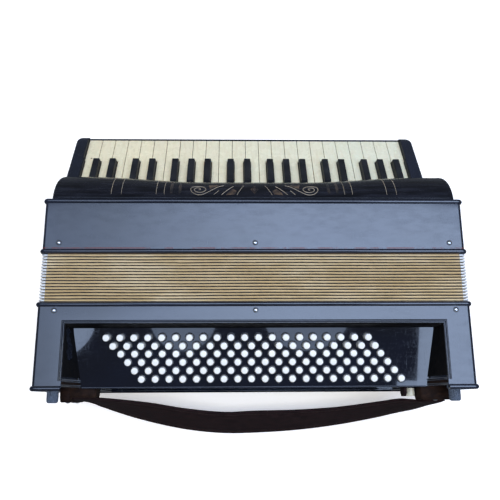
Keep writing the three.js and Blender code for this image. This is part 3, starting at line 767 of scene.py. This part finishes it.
def recess_lining():
    """Black leather on the far wall and the side walls of the recess."""
    far, low = RECESS_DEPTH + 0.1, board_line(RECESS_DEPTH)
    strip = [(far, low), (far, FRONT - 0.5), (far - 0.3, FRONT - 0.3), (far - 0.9, FRONT - 0.8),
             (far - 1.2, FRONT - 2), (far - 1.2, low)]
    lining = Shape().add(prism_x(strip, -RECESS_HALF + 0.3, RECESS_HALF - 0.3))
    for side in (-1, 1):
        rings = []
        for i in range(31):
            y = 11.5 + (RECESS_DEPTH - 12.7) * i / 30
            foot = min(board_half(y), RECESS_HALF)
            base = board_line(y) + 0.2
            ring = [(side * (RECESS_HALF + 0.2), y, FRONT - 0.4), (side * (foot + 0.6), y, base)]
            for k in range(13):
                t = k / 12
                crease = noise.noise(Vector((y / 9, t * 4, side)))
                crease += 0.5 * noise.noise(Vector((y / 4, t * 9, side)))
                rise = 0.7 + 0.9 * crease * math.sin(math.pi * t)
                x = foot + (RECESS_HALF - foot) * t - max(0.1, rise)
                ring.append((side * x, y, base + (FRONT - 0.6 - base) * t))
            rings.append(ring)
        lining.add(loft(rings))
    piece("recess_lining", lining, LINING, "bass", angle=60, mirrored=False)


MOULDING_SECTION = [
    (0, -1.0), (0, -0.1), (0.5, 0.85), (0.9, 0.9), (1.2, 0.6), (1.55, 0.0), (1.9, 0.6), (2.3, 1.2),
    (2.9, 1.25), (3.3, 0.95), (4.0, -0.1), (4.0, -1.0),
]


def mouldings():
    """The moulding round the recess, and its ends down the side walls at the end face."""
    inner, far, start = RECESS_HALF + 0.2, RECESS_DEPTH + 0.2, 7
    corners = [(-inner, start, -1, 0), (-inner, far, -1, 1), (inner, far, 1, 1), (inner, start, 1, 0)]
    rings = []
    for x, y, dx, dy in corners:
        rings.append([(x + dx * out, y + dy * out, FRONT + rise) for out, rise in MOULDING_SECTION])
    shape = Shape().add(loft(rings))
    for side in (-1, 1):
        top = Vector((side * RECESS_HALF, 0, FRONT))
        foot = Vector((side * (BOARD_NEAR_HALF + 1.2), 0, BOARD_NEAR_Z + 2.2))
        normal = Vector((foot.z - top.z, 0, top.x - foot.x)) * side
        normal = -normal.normalized() if normal.x * side > 0 else normal.normalized()
        for y0, share in ((start - 1.2, 1.0), (-0.2, 1.3)):
            rings = []
            for end in (top, foot):
                rings.append([
                    tuple(end + normal * rise * share + Vector((0, y0 + out * 0.9, 0)))
                    for out, rise in MOULDING_SECTION
                ])
            shape.add(loft(rings))
    piece("recess_moulding", shape, CELLULOID, "bass", angle=50, mirrored=False)


def corner_patches():
    """Leather patches on the recess's side walls, by the end face."""
    shape = Shape()
    for side in (-1, 1):
        rings = []
        for t in (0.02, 0.1, 0.5, 0.9, 0.98):
            x = side * (RECESS_HALF - 10.0 * t)
            z = FRONT - 51 * t
            thick = 0.9 if 0.05 < t < 0.95 else 0.3
            ring = []
            for y, rise in ((2.9, 0), (2.9, 0.5), (3.3, 1), (5.6, 1), (6.0, 0.5), (6.0, 0)):
                ring.append((x - side * rise * thick, y, z + rise * 0.15))
            rings.append(ring)
        shape.add(loft(rings))
    piece("corner_patches", shape, BROWN_LEATHER, "bass", angle=50, mirrored=False)


# ---- button board and buttons ----


def button_places(row):
    along = LAST_ROW_Y + (BUTTON_ROWS - 1 - row) * ROW_SPACING
    shift = (row - (BUTTON_ROWS - 1) / 2) * BUTTON_PITCH / 2
    middle = (BUTTONS_IN_ROW - 1) / 2
    return [((i - middle) * BUTTON_PITCH + shift, along) for i in range(BUTTONS_IN_ROW)]


BOARD_NORMAL = (0, -math.sin(BOARD_TILT), math.cos(BOARD_TILT))


def button_board():
    plate = []
    for above in (-BOARD_THICKNESS, 0):
        plate.append([
            board_point(-BOARD_NEAR_HALF, 0.3, above), board_point(BOARD_NEAR_HALF, 0.3, above),
            board_point(BOARD_FAR_HALF, BOARD_LENGTH, above),
            board_point(-BOARD_FAR_HALF, BOARD_LENGTH, above),
        ])
    board = new_object("button_board", loft(plate), [BOARD])
    holes, rims = Shape(), Shape()
    hole = [(0, -6), (HOLE_RADIUS, -6), (HOLE_RADIUS, 6), (0, 6)]
    rim = [(HOLE_RADIUS + out, h) for out, h in (
        (-0.05, -1.5), (-0.05, 0.1), (0.15, 0.3), (0.5, 0.3), (0.75, 0.05), (0.75, -1.5)
    )]
    for row in range(BUTTON_ROWS):
        for x, along in button_places(row):
            holes.add(lathe(hole, board_point(x, along, 0), BOARD_NORMAL, 20))
            rims.add(turned_ring(rim, lambda u, v, h: board_point(x + u, along + v, h), 20))
    cut(board, holes)
    piece("button_board", board, BOARD, "bass", ["bass_button_board"], angle=40)
    piece("button_hole_rims", rims, BOARD, "bass", angle=60)


def button_row(row):
    rise = TALL_BUTTON_RISE if row < TALL_ROWS else BUTTON_RISE
    r = BUTTON_RADIUS
    profile = [(0, -8.5), (r, -8.5), (r, rise - 1.5), (r - 0.12, rise - 0.9), (r - 0.5, rise - 0.4),
               (r - 1.1, rise - 0.1), (r - 2.0, rise), (r - 3.2, rise - 0.05), (0, rise - 0.1)]
    shape = Shape()
    places = button_places(row)
    for x, along in places:
        shape.add(lathe(profile, board_point(x, along, 0), BOARD_NORMAL))
    bar = ((-3, -12), (3, -12), (3, -8), (-3, -8))
    rings = []
    for x in (places[0][0] - r, places[-1][0] + r):
        rings.append([board_point(x, along + dy, h) for dy, h in bar])
    shape.add(loft(rings))
    name = f"button_row_{row + 1}"
    piece(f"buttons_{row + 1}", shape, WHITE, name, [name], angle=50)


def air_button():
    x, z = AIR_BUTTON
    head = [(0, -40), (3, -40), (3, -5), (5.5, -5), (5.5, 9.6), (5.3, 10.6), (4.7, 11.3), (3.5, 11.6),
            (0, 11.6)]
    head = lathe(head, (x, 0, z), (0, -1, 0), 28)
    piece("air_button_head", head, CREAM, "air_button", ["air_button"], angle=50)
    collar = [(6.4, -4), (6.4, 1.2), (6.8, 1.7), (8.2, 1.7), (8.7, 1.2), (8.7, -4)]
    ring = turned_ring(collar, lambda u, v, h: (x + u, -h, z + v), 28)
    piece("air_button_collar", ring, CELLULOID, "bass", angle=50)


def feet():
    profile = [(0, 18), (4.2, 18), (6.0, 17.4), (6.8, 16.0), (7.0, 13), (7.0, 4.5), (7.4, 3.4),
               (8.4, 2.8), (8.6, 1.6), (8.6, -0.5), (0, -0.5)]
    shape = Shape()
    for x in (-FOOT_X, FOOT_X):
        for z in FOOT_Z:
            shape.add(lathe(profile, (x, 0, z), (0, -1, 0), 28))
    piece("feet", shape, RUBBER, "bass", angle=40)


# ---- treble cover ----


COVER_SEAM = TREBLE_FAR + 0.3
COVER_FOOT = REAR_WALL_TOP + 0.3


@functools.cache
def cover_arc(inset=0.0, x=REAR_HALF_WIDTH):
    """(y, z) points over the cover, from the casing's seam to the keyboard. The cover stands less far
    out over the middle of the keyboard than at its ends."""
    y, z = COVER_CENTRE
    t = min(1, max(0, (215 - abs(x)) / 150))
    a, b = COVER_RADII[0] - COVER_SCALLOP * t * t * (3 - 2 * t) - inset, COVER_RADII[1] - inset
    first = math.acos((COVER_SEAM - y) / a)
    turns = [first * (1 - i / 48) for i in range(49)]
    return [(y + a * math.cos(t), z + b * math.sin(t)) for t in turns] + [(y + a, COVER_FOOT)]


def on_cover(x, along, above=0.0):
    """A point at a length along the cover's arc from the casing's seam, and above its surface."""
    left = along
    line = cover_arc(x=round(x))
    for (y0, z0), (y1, z1) in zip(line, line[1:]):
        step = math.hypot(y1 - y0, z1 - z0)
        if left <= step or (y1, z1) == line[-1]:
            break
        left -= step
    dy, dz = (y1 - y0) / step, (z1 - z0) / step
    return x, y0 + dy * left - dz * above, z0 + dz * left + dy * above


def treble_cover():
    """The curved shell, rounded over at its ends, and a flat wall at each end of it."""
    rounding = []
    for i in range(7):
        turn = math.pi / 2 * i / 6
        x = REAR_HALF_WIDTH - COVER_ROUNDING * (1 - math.cos(turn))
        rounding.append((x, COVER_DROP * (1 - math.sin(turn))))
    middle = [(x, 0) for x in range(-225, 226, 15)]
    rings = []
    for x, inset in [(-x, inset) for x, inset in rounding] + middle + rounding[::-1]:
        outline = cover_arc(inset, x) + cover_arc(COVER_SHEET + inset, x)[::-1]
        rings.append([(x, y, z) for y, z in outline])
    shell = Shape().add(loft(rings, caps=False))
    outline = cover_arc(COVER_DROP) + [(COVER_SEAM, COVER_FOOT)]
    for side in (-1, 1):
        edges = sorted((side * REAR_HALF_WIDTH, side * (REAR_HALF_WIDTH - REAR_SIDE)))
        shell.add(prism_x(outline, *edges))
    piece("cover_shell", shell, COVER, "treble", ["treble_cover"], angle=50)


def smooth_line(points):
    """A Catmull-Rom line through an array of (x, along) points."""
    padded = [2 * points[0] - points[1], *points, 2 * points[-1] - points[-2]]
    line = []
    for a, b, c, d in zip(padded, padded[1:], padded[2:], padded[3:]):
        for t in (k / 8 for k in range(8)):
            line.append(0.5 * (2 * b + (c - a) * t + (2 * a - 5 * b + 4 * c - d) * t * t
                               + (3 * b - a - 3 * c + d) * t ** 3))
    return [*line, points[-1]]


def ribbon(points, width, rise=0.32, dense=True):
    """A thin raised line on the cover, through (x, along) points."""
    line = np.array(points, float)
    if dense:
        line = smooth_line(line)
    last = len(line) - 1
    section = ((-1, -0.4), (-0.9, 0.1), (-0.45, rise), (0.45, rise), (0.9, 0.1), (1, -0.4))
    rings = []
    for i, here in enumerate(line):
        ahead = line[min(i + 1, last)] - line[max(i - 1, 0)]
        side = np.array((-ahead[1], ahead[0])) / max(np.hypot(*ahead), 1e-6)
        half = width / 2 * (0.5 if i in (0, last) else 1)
        rings.append([on_cover(*(here + side * half * across), up) for across, up in section])
    return loft(rings)


def patch(corners, rise=0.12):
    """A thin flat patch of grille cloth on the cover."""
    corners = np.array(corners, float)
    centre = corners.mean(axis=0)
    outline = []
    for a, b in zip(corners, np.roll(corners, -1, axis=0)):
        outline += [a + (b - a) * k / 5 for k in range(5)]
    rings = [[on_cover(*p, -0.6) for p in outline]]
    for share in (1.0, 0.66, 0.33):
        rings.append([on_cover(*(centre + (p - centre) * share), rise) for p in outline])
    return loft(rings)


LINE_PAIRS = (113.4, 123.4, 166.8, 179.2)
SLOTS = (94.0, 104.6)
VOLUTE = [
    (39, 26.1), (45.8, 22.3), (52.4, 16.1), (59, 10.6), (64.5, 7.1), (70, 6.0), (75.3, 7.7), (79, 11.5),
    (80.5, 16), (79.3, 20.3), (75.5, 22.8), (70, 23.2), (65, 21.3), (61.6, 17.4), (62.3, 13.4),
    (65.4, 10.9), (69.8, 10.2), (74, 11.9), (75.9, 15.2), (74.7, 18.4), (71.5, 19.6), (68.8, 18),
    (68.4, 15.8), (70.4, 14.8),
]
STROKES = [
    ([(45, 13.8), (51.2, 6.2)], 0.55),
    ([(26.5, 23.8), (41.8, 5.8)], 0.65),
    ([(13.3, 25.8), (22.2, 5.8)], 0.5),
]
FRET_CORNERS = [
    [(36.2, 5.6), (32.7, 11.4), (27.7, 17.4), (22.6, 13.4), (24.3, 7.0)],
    [(58.4, 27.5), (44.7, 27.0), (50.5, 21.4), (56.2, 17.0)],
]
LOZENGE = [(0, 24.5), (4.6, 16.5), (0, 8.5), (-4.6, 16.5), (0, 24.5)]
SLOT_OUTLINE = [(-1.5, 8.5), (1.5, 8.5), (1.9, 19), (1.5, 33), (-1.5, 33), (-1.9, 19)]


def cover_ornament():
    """The same on both sides of the middle, with a lozenge in the middle."""
    gilt, cloth = Shape(), Shape()
    for side in (-1, 1):
        flip = np.array((side, 1))
        for x in LINE_PAIRS:
            gilt.add(ribbon([(side * x, 6.5 + i * 4.6) for i in range(12)], 0.55, dense=False))
        gilt.add(ribbon(VOLUTE * flip, 0.65))
        for points, width in STROKES:
            gilt.add(ribbon(points * flip, width))
        for corners in FRET_CORNERS:
            cloth.add(patch(corners * flip))
        for x in SLOTS:
            cloth.add(patch([(side * (x + a), b) for a, b in SLOT_OUTLINE]), 1)
    lozenge = ribbon(LOZENGE, 0.9, dense=False)
    cloth.add(patch([(0, 21.5), (2.9, 16.5), (0, 11.5), (-2.9, 16.5)]))
    piece("cover_gilt_lines", gilt, GILT, "treble", angle=60)
    piece("cover_lozenge", lozenge, GRILLE, "treble", angle=60)
    piece("cover_cutouts", cloth, [GRILLE, SLOT_CLOTH], "treble", angle=60)
    rims = Shape()
    for side in (-1, 1):
        rims.add(ribbon([(side * 245.6, 1.0 + i * 2.4) for i in range(42)], 0.8, 0.25, dense=False))
    rims.add(ribbon([(-246 + i * 12, 1.6) for i in range(42)], 1.6, 0.5, dense=False))
    piece("cover_rims", rims, COVER, "treble", angle=60)


# ---- keyboard ----


def on_key(along, above):
    """(y, z) in the side view of the keyboard, from the far end along the keys and above their tops."""
    return (
        KEYS_END[0] - along * math.cos(KEY_SLOPE) + above * math.sin(KEY_SLOPE),
        KEYS_END[1] + along * math.sin(KEY_SLOPE) + above * math.cos(KEY_SLOPE),
    )


WHITE_NOTES = "AGFEDCBAGFEDCBAGFEDCBAGF"
BLACK_AFTER = {"A": "Gs", "G": "Fs", "E": "Ds", "D": "Cs", "B": "As"}
BLACK_SHIFT = {"As": -0.2, "Gs": 0, "Fs": 0.2, "Ds": -0.11, "Cs": 0.11}
KEYS_LEFT = KEYBOARD_SHIFT - len(WHITE_NOTES) / 2 * KEY_PITCH
KEYS_RIGHT = KEYS_LEFT + len(WHITE_NOTES) * KEY_PITCH
WHITE_PALLET_Z = 123
BLACK_PALLET_Z = 150


def key_layout():
    """The whites' names and left edges, and the blacks' names, middles and the white before each."""
    whites, blacks = [], []
    octave = 6
    for i, note in enumerate(WHITE_NOTES):
        if note == "B":
            octave -= 1
        left = KEYS_LEFT + i * KEY_PITCH
        whites.append((f"key_{note}{octave}", left))
        black = BLACK_AFTER.get(note)
        if black and i < len(WHITE_NOTES) - 1:
            blacks.append((f"key_{black}{octave}", left + (1 + BLACK_SHIFT[black]) * KEY_PITCH, i))
    return whites, blacks


def add_key_body(shape, plan):
    """A key's plan of (x, along) carried down, in a top material and a lower one. The first side of the
    plan, the key's far end, has the top material all the way down."""
    sides = len(plan)
    layers = (0, -KEY_TOP_PLATE, -KEY_HEIGHT)
    rings = [[(x, *on_key(along, above)) for x, along in plan] for above in layers]
    shape.add(loft(rings), [0] * (sides + 1) + [1] * (sides - 1) + [0, 1])


def add_key_lever(shape, x, pallet_z):
    """The arm and felted pallet behind the axle, inside the cover."""
    arm = [(250, 93), (257, 99), (240, pallet_z + 3), (226.3, pallet_z + 3), (226.3, pallet_z - 3),
           (236, pallet_z - 3)]
    shape.add(prism_x(arm, x - 2.5, x + 2.5), 1)
    shape.add(block((x - 5, x + 5), (220.3, 227.3), (pallet_z - 9, pallet_z + 9)), 1)


def white_key(name, left, black_before, black_after, first, last):
    """A white key, narrowed beside the middles of the black keys before and after it, if there are."""
    half = BLACK_WIDTH / 2 + KEY_GAP / 2
    right = left + KEY_PITCH - KEY_GAP / 2
    left += KEY_GAP / 2
    x0 = left + first if black_before is None else black_before + half
    x1 = right - last if black_after is None else black_after - half
    plan = [(left, 0), (right, 0), (right, KEY_HEAD), (x1, KEY_HEAD), (x1, KEY_LENGTH), (x0, KEY_LENGTH),
            (x0, KEY_HEAD), (left, KEY_HEAD)]
    shape = Shape()
    add_key_body(shape, list(dict.fromkeys(plan)))
    add_key_lever(shape, (x0 + x1) / 2, WHITE_PALLET_Z)
    piece(f"{name}_key", shape, [IVORY, WOOD], name, [name], edges=0.55)


def black_key(name, x):
    def rectangle(half, start, end):
        return [(x - half, start), (x + half, start), (x + half, end), (x - half, end)]

    foot = rectangle(BLACK_WIDTH / 2 - 0.2, BLACK_START + 0.3, BLACK_CAP_END)
    top = rectangle(BLACK_TOP_WIDTH / 2, BLACK_START + 4, BLACK_CAP_END - 4)
    cap = [[(u, *on_key(along, above)) for u, along in plan]
           for plan, above in ((foot, -1), (top, BLACK_RISE))]
    shape = Shape().add(loft(cap))
    add_key_body(shape, rectangle(BLACK_WIDTH / 2, BLACK_START, KEY_LENGTH))
    add_key_lever(shape, x, BLACK_PALLET_Z)
    piece(f"{name}_key", shape, [EBONY, WOOD], name, [name], edges=0.9)


def keys():
    whites, blacks = key_layout()
    middles = {after: x for _, x, after in blacks}
    for i, (name, left) in enumerate(whites):
        white_key(name, left, middles.get(i - 1), middles.get(i), i == 0, i == len(whites) - 1)
    for name, x, _ in blacks:
        black_key(name, x)


def keyboard_bed():
    """The wedge under the keys, the lip past their far end, and a rounded cheek at each side."""
    left, right = KEYS_LEFT, KEYS_RIGHT
    start = TREBLE_REAR + 0.3
    lip_face, lip_top = KEYS_END[0] + 0.8, KEYS_END[1] - 2.5

    def at_y(y, above):
        return KEYS_END[1] + (KEYS_END[0] - y) * math.tan(KEY_SLOPE) + above / math.cos(KEY_SLOPE)

    plate_top, plate_bottom = -KEY_HEIGHT - 6, -KEY_HEIGHT - 14
    meet = KEYS_END[0] - (5 - at_y(KEYS_END[0], plate_bottom)) / math.tan(KEY_SLOPE)
    bed = [(start + 0.3, 0.3), (BED_END - 0.3, 0.3), (BED_END - 0.3, lip_top), (lip_face, lip_top),
           (lip_face, at_y(lip_face, plate_top)), (start + 0.3, at_y(start, plate_top)),
           (start + 0.3, at_y(start, plate_bottom)), (meet, 5), (start + 0.3, 5)]
    cheek = [(start, 0), (BED_END, 0), (BED_END, lip_top - 3)]
    bend = [(BED_END, lip_top - 3), on_key(-3, CHEEK_RISE), on_key(12, CHEEK_RISE)]
    for i in range(1, 11):
        t = i / 10
        weights = ((1 - t) ** 2, 2 * t * (1 - t), t * t)
        cheek.append(tuple(sum(w * p[k] for w, p in zip(weights, bend)) for k in (0, 1)))
    cheek.append((start, at_y(start, CHEEK_RISE)))
    shape = Shape().add(prism_x(bed, left - 5, right + 5))
    for inner, outer in ((left - 0.3, left - CHEEK_WIDTH), (right + 0.3, right + CHEEK_WIDTH)):
        rings = [[(inner, y, z) for y, z in cheek]]
        for i in range(9):
            turn = math.pi / 2 * i / 8
            x = outer + math.copysign(CHEEK_ROUNDING[0] * (1 - math.sin(turn)), inner - outer)
            end = BED_END - CHEEK_ROUNDING[1] * (1 - math.cos(turn))
            rings.append([(x, min(y, end), z) for y, z in cheek])
        shape.add(loft(rings))
        shape.numbers[-2] = 1  # the face beside the keys
    near, low = 103, plate_top - 1
    step = [on_key(KEY_HEAD + 0.6, CHEEK_RISE - 1), on_key(near, CHEEK_RISE - 1),
            on_key(near, low), on_key(KEY_HEAD + 0.6, low)]
    for x0, x1 in ((left - 1, left + 0.85), (right - 0.85, right + 1)):
        shape.add(prism_x(step, x0, x1), 1)
    piece(
        "keyboard_frame", shape, [CELLULOID, EBONY], "treble", ["keyboard_bed"], edges=1.1
    )


# ---- bellows ----

FOLD_OUTLINE = [
    (0.0, VALLEY), (0.09, -6.0), (0.12, -3.0), (0.19, -1.7), (0.32, -1.1), (0.5, -0.9),
    (0.68, -1.1), (0.81, -1.7), (0.88, -3.0), (0.91, -6.0),
]


def stretch_with_bellows(obj, angle):
    smooth(obj, angle)
    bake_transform(obj)


def bellows():
    """The folds, a little uneven, on a thin inner skin. The depth of each point is kept for the look,
    which paints shade into the valleys with it.
    """
    section = []
    for fold in range(FOLDS):
        section += [(BELLOWS_START + (fold + t) * FOLD_PITCH, out) for t, out in FOLD_OUTLINE]
    section.append((BELLOWS_END, VALLEY))
    section += [(BELLOWS_END, VALLEY - INNER_SKIN), (BELLOWS_START, VALLEY - INNER_SKIN)]
    paths = [casing_path(out, radius=FOLD_CORNER_RADIUS, steps=4, along=44) for _, out in section]
    rings = []
    for points in zip(*paths):
        ring = []
        for (x, z), (y, out) in zip(points, section):
            fold = (y - BELLOWS_START) / FOLD_PITCH
            edge = min(1, max(0, min(fold, FOLDS - fold)))
            crease = noise.noise(Vector((x / 34, z / 34, round(fold * 2) * 7.3)))
            wave = noise.noise(Vector((x / 120, z / 120, 3.1)))
            ring.append((x, y + (0.42 * crease + 0.35 * wave) * edge, z))
        rings.append(ring)
    obj = new_object("bellows_folds", loft(rings, closed=True), [BELLOWS])
    depth = [min(1, max(0, (-0.9 - out) / 16)) for _, out in section]
    attribute = obj.data.attributes.new("depth", "FLOAT", "POINT")
    attribute.data.foreach_set("value", depth * len(rings))
    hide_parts("bellows")
    stretch_with_bellows(obj, 75)


PROTECTOR_REACH = 7.5
PROTECTOR_SHEET = 0.45
PROTECTOR_OUTLINE = [
    (0.13, -2.6), (0.2, -1.0), (0.33, -0.35), (0.5, -0.15), (0.67, -0.35), (0.8, -1.0), (0.87, -2.6),
]


def protector_path(out):
    """(x, z) points round the front +X corner of the bellows, with z from its middle."""
    x, z = HALF_WIDTH + out, FRONT - MIDDLE_Z + out
    corner = round_corner(x, z, 1, 1, max(FOLD_CORNER_RADIUS + out, LEAST_RADIUS), 6, True)
    return [(HALF_WIDTH - PROTECTOR_REACH, z), *corner, (x, FRONT - MIDDLE_Z - PROTECTOR_REACH)]


def corner_protectors():
    """A folded metal cap on each corner of each fold."""
    outline = PROTECTOR_OUTLINE + [(t, out - PROTECTOR_SHEET) for t, out in PROTECTOR_OUTLINE[::-1]]
    paths = list(zip(*(protector_path(out) for _, out in outline)))
    shape = Shape()
    for sx, sz, fold in itertools.product((-1, 1), (-1, 1), range(FOLDS)):
        ys = [BELLOWS_START + (fold + t) * FOLD_PITCH for t, _ in outline]
        rings = [[(sx * x, y, MIDDLE_Z + sz * z) for (x, z), y in zip(points, ys)] for points in paths]
        shape.add(loft(rings))
    stretch_with_bellows(new_object("bellows_corners", shape, [SILVER]), 60)


# ---- bass strap and its fittings ----

STRAP_TOP = [
    (-238, -10, 127), (-214, -10, 121), (-190, -11.5, 107), (-138, -17, 84), (-90, -25, 67),
    (-38, -30, 57), (0, -28.7, 57.5), (60, -27.5, 60), (115, -24, 68), (170, -17, 80),
    (192, -14, 91), (212, -15.5, 104), (240, -14.5, 126),
]
STRAP_BOTTOM = [
    (-238, -11.5, 56), (-222, -14.5, 47), (-205, -21.5, 39), (-160, -37, 26), (-95, -52.5, 10),
    (-39, -58.6, 1.5), (0, -58.4, 1.5), (60, -55, 5), (115, -48.5, 11), (170, -38.5, 23),
    (200, -31.5, 32), (222, -26.5, 42), (240, -19.5, 62),
]


def centripetal(points, t):
    """A point at t from 0 to 1 on a centripetal Catmull-Rom curve."""
    p = [np.array(q, float) for q in points]
    place = min(t, 0.999999) * (len(p) - 1)
    i = int(place)
    w = place - i
    padded = [2 * p[0] - p[1], *p, 2 * p[-1] - p[-2]]
    p0, p1, p2, p3 = padded[i : i + 4]
    d0, d1, d2 = (max(np.linalg.norm(b - a) ** 0.5, 1e-4) for a, b in ((p0, p1), (p1, p2), (p2, p3)))
    t1 = ((p1 - p0) / d0 - (p2 - p0) / (d0 + d1) + (p2 - p1) / d1) * d1
    t2 = ((p2 - p1) / d1 - (p3 - p1) / (d1 + d2) + (p3 - p2) / d2) * d1
    return p1 + t1 * w + (-3 * p1 + 3 * p2 - 2 * t1 - t2) * w * w + (2 * p1 - 2 * p2 + t1 + t2) * w ** 3


def strap_frame(t):
    """The strap's lower and upper edge at t, its outward direction and the direction along it."""
    lower, upper = centripetal(STRAP_BOTTOM, t), centripetal(STRAP_TOP, t)
    a, b = max(t - 0.004, 0), min(t + 0.004, 1)
    run = sum(centripetal(edge, b) - centripetal(edge, a) for edge in (STRAP_TOP, STRAP_BOTTOM))
    outward = np.cross(run, upper - lower)
    outward /= np.linalg.norm(outward)
    return lower, upper, outward, run / np.linalg.norm(run)


STRAP_SECTION = [
    (0.0, 0.35), (0.012, 0.1), (0.03, 0.0), (0.3, 0.0), (0.7, 0.0), (0.97, 0.0), (0.988, 0.1),
    (1.0, 0.35), (1.0, 0.62), (0.985, 0.85), (0.96, 0.93), (0.93, 0.9), (0.90, 0.78), (0.87, 0.88),
    (0.78, 0.98), (0.5, 1.0), (0.22, 0.98), (0.13, 0.88), (0.10, 0.78), (0.07, 0.9), (0.04, 0.93),
    (0.015, 0.85), (0.0, 0.62),
]
STITCHES = 118
STITCH_SECTION = ((-1.5, 0.12), (-1.1, 0.33), (0, 0.42), (1.1, 0.33), (1.5, 0.12))


def bass_strap():
    rings = []
    for t in (i / 120 for i in range(121)):
        lower, upper, outward, _ = strap_frame(t)
        sag = 0.35 * noise.noise(Vector((t * 14, 0.4, 0)))
        ring = []
        for across, level in STRAP_SECTION:
            lift = level * STRAP_THICKNESS + sag * math.sin(math.pi * across)
            ring.append(lower + (upper - lower) * across + outward * lift)
        rings.append(ring)
    piece("strap", loft(rings), LEATHER, "bass", ["bass_strap"], angle=50)
    stitches = Shape()
    for across, i in itertools.product((0.1, 0.9), range(STITCHES)):
        lower, upper, outward, run = strap_frame(0.03 + 0.94 * (i + 0.5) / STITCHES)
        middle = lower + (upper - lower) * across + outward * (STRAP_THICKNESS * 0.80)
        side = np.cross(outward, run)
        stitches.add(loft([
            [middle + run * ahead + (side * c + outward * s) * r for c, s in circle(6)]
            for ahead, r in STITCH_SECTION
        ]))
    piece("strap_stitches", stitches, THREAD, "bass", angle=70)


def flap(x, z, depth, rounding=2.2, radius=3.5):
    """A folded leather flap on the end face, as a pillow with a rolled edge."""
    rings = []
    for share, inset in ((0, 0.0), (0.35, -0.2), (0.7, 0.0), (0.92, 0.7), (1, rounding)):
        y = -depth * share if share else 0.4
        reach = radius - inset
        ring = []
        for sx, sz, start in ((1, 1, 0), (0, 1, 90), (0, 0, 180), (1, 0, 270)):
            centre_x = x[sx] + (radius if sx == 0 else -radius)
            centre_z = z[sz] + (radius if sz == 0 else -radius)
            for turn in (math.radians(start + 30 * k) for k in range(4)):
                ring.append((centre_x + reach * math.cos(turn), y, centre_z + reach * math.sin(turn)))
        rings.append(ring)
    return loft(rings)


SCREW_HEAD = [(0, 1.3), (1.5, 1.1), (2.7, 0.5), (3.1, 0.0), (3.1, -1.0), (0, -1.0)]


def strap_fittings():
    flaps = Shape()
    flaps.add(flap((-240.5, -197), (106, 133), 12))
    flaps.add(flap((-241.5, -228), (58, 134), 17.2, 1.6))
    flaps.add(flap((207.5, 248.5), (104, 133), 16.5))
    piece("strap_flaps", flaps, BROWN_LEATHER, "bass", angle=50)
    tab = flap((187.6, 191.6), (112, 131), 12, 1.2, 1.6)
    piece("strap_tab", tab, LEATHER, "bass", angle=50)
    plates = Shape()
    plates.add(block((-240, -197), (-3, 0.5), (34, 107)))
    plates.add(block((197, 240), (-3, 0.5), (34, 104)))
    piece("strap_plates", plates, CELLULOID, "bass", edges=0.9)
    screws = Shape()
    for place in ((-234.7, -17.2, 72), (-234.7, -17.2, 118), (228, -16.5, 126)):
        screws.add(lathe(SCREW_HEAD, place, (0, -1, 0), 18))
    piece("strap_screws", screws, STEEL, "bass", angle=50)


def board_edge():
    """The rounded strip of celluloid that finishes the end face under the button board."""
    radius, half = 1.1, BOARD_NEAR_HALF - 1
    section = [(0.3 + radius * c, BOARD_NEAR_Z - 0.6 + radius * s) for c, s in circle(12)]
    piece("board_edge", prism_x(section, -half, half), CELLULOID, "bass", angle=50)


# ---- carried-over CAD nodes ----


def carried(name, material):
    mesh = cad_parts[name].data
    mesh.materials.clear()
    mesh.materials.append(material)


treble_casing()
pins("treble", 171.6, 240)
bass_casing()
pins("bass", 88.6, 241)
recess_lining()
mouldings()
corner_patches()
button_board()
for row_number in range(BUTTON_ROWS):
    button_row(row_number)
air_button()
feet()
treble_cover()
cover_ornament()
keys()
keyboard_bed()
bellows()
corner_protectors()
bass_strap()
strap_fittings()
board_edge()
carried("key_axle", STEEL)
for wooden in ("treble_reed_block", "bass_reed_block", "treble_bellows_frame", "bass_bellows_frame"):
    carried(wooden, WOOD)
    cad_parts[wooden].visible_glossy = False  # nothing mirrors the inside of the casings


def add_floor():
    half = 4000
    shape = block((-half, half), (-half, half), (-10, 0))
    look = Look("pale_floor", Emission_Color=(1, 0.98, 0.95, 1), Emission_Strength=0.45)
    tone = look.ramp(look.noise(3, 2), (0.3, (0.93, 0.90, 0.87)), (0.7, (0.95, 0.92, 0.89)))
    floor = new_object("floor", shape, [look.finish(tone, 0.7)])
    floor.visible_glossy = False  # a mirrored white floor would hide the black of the sides


add_floor()
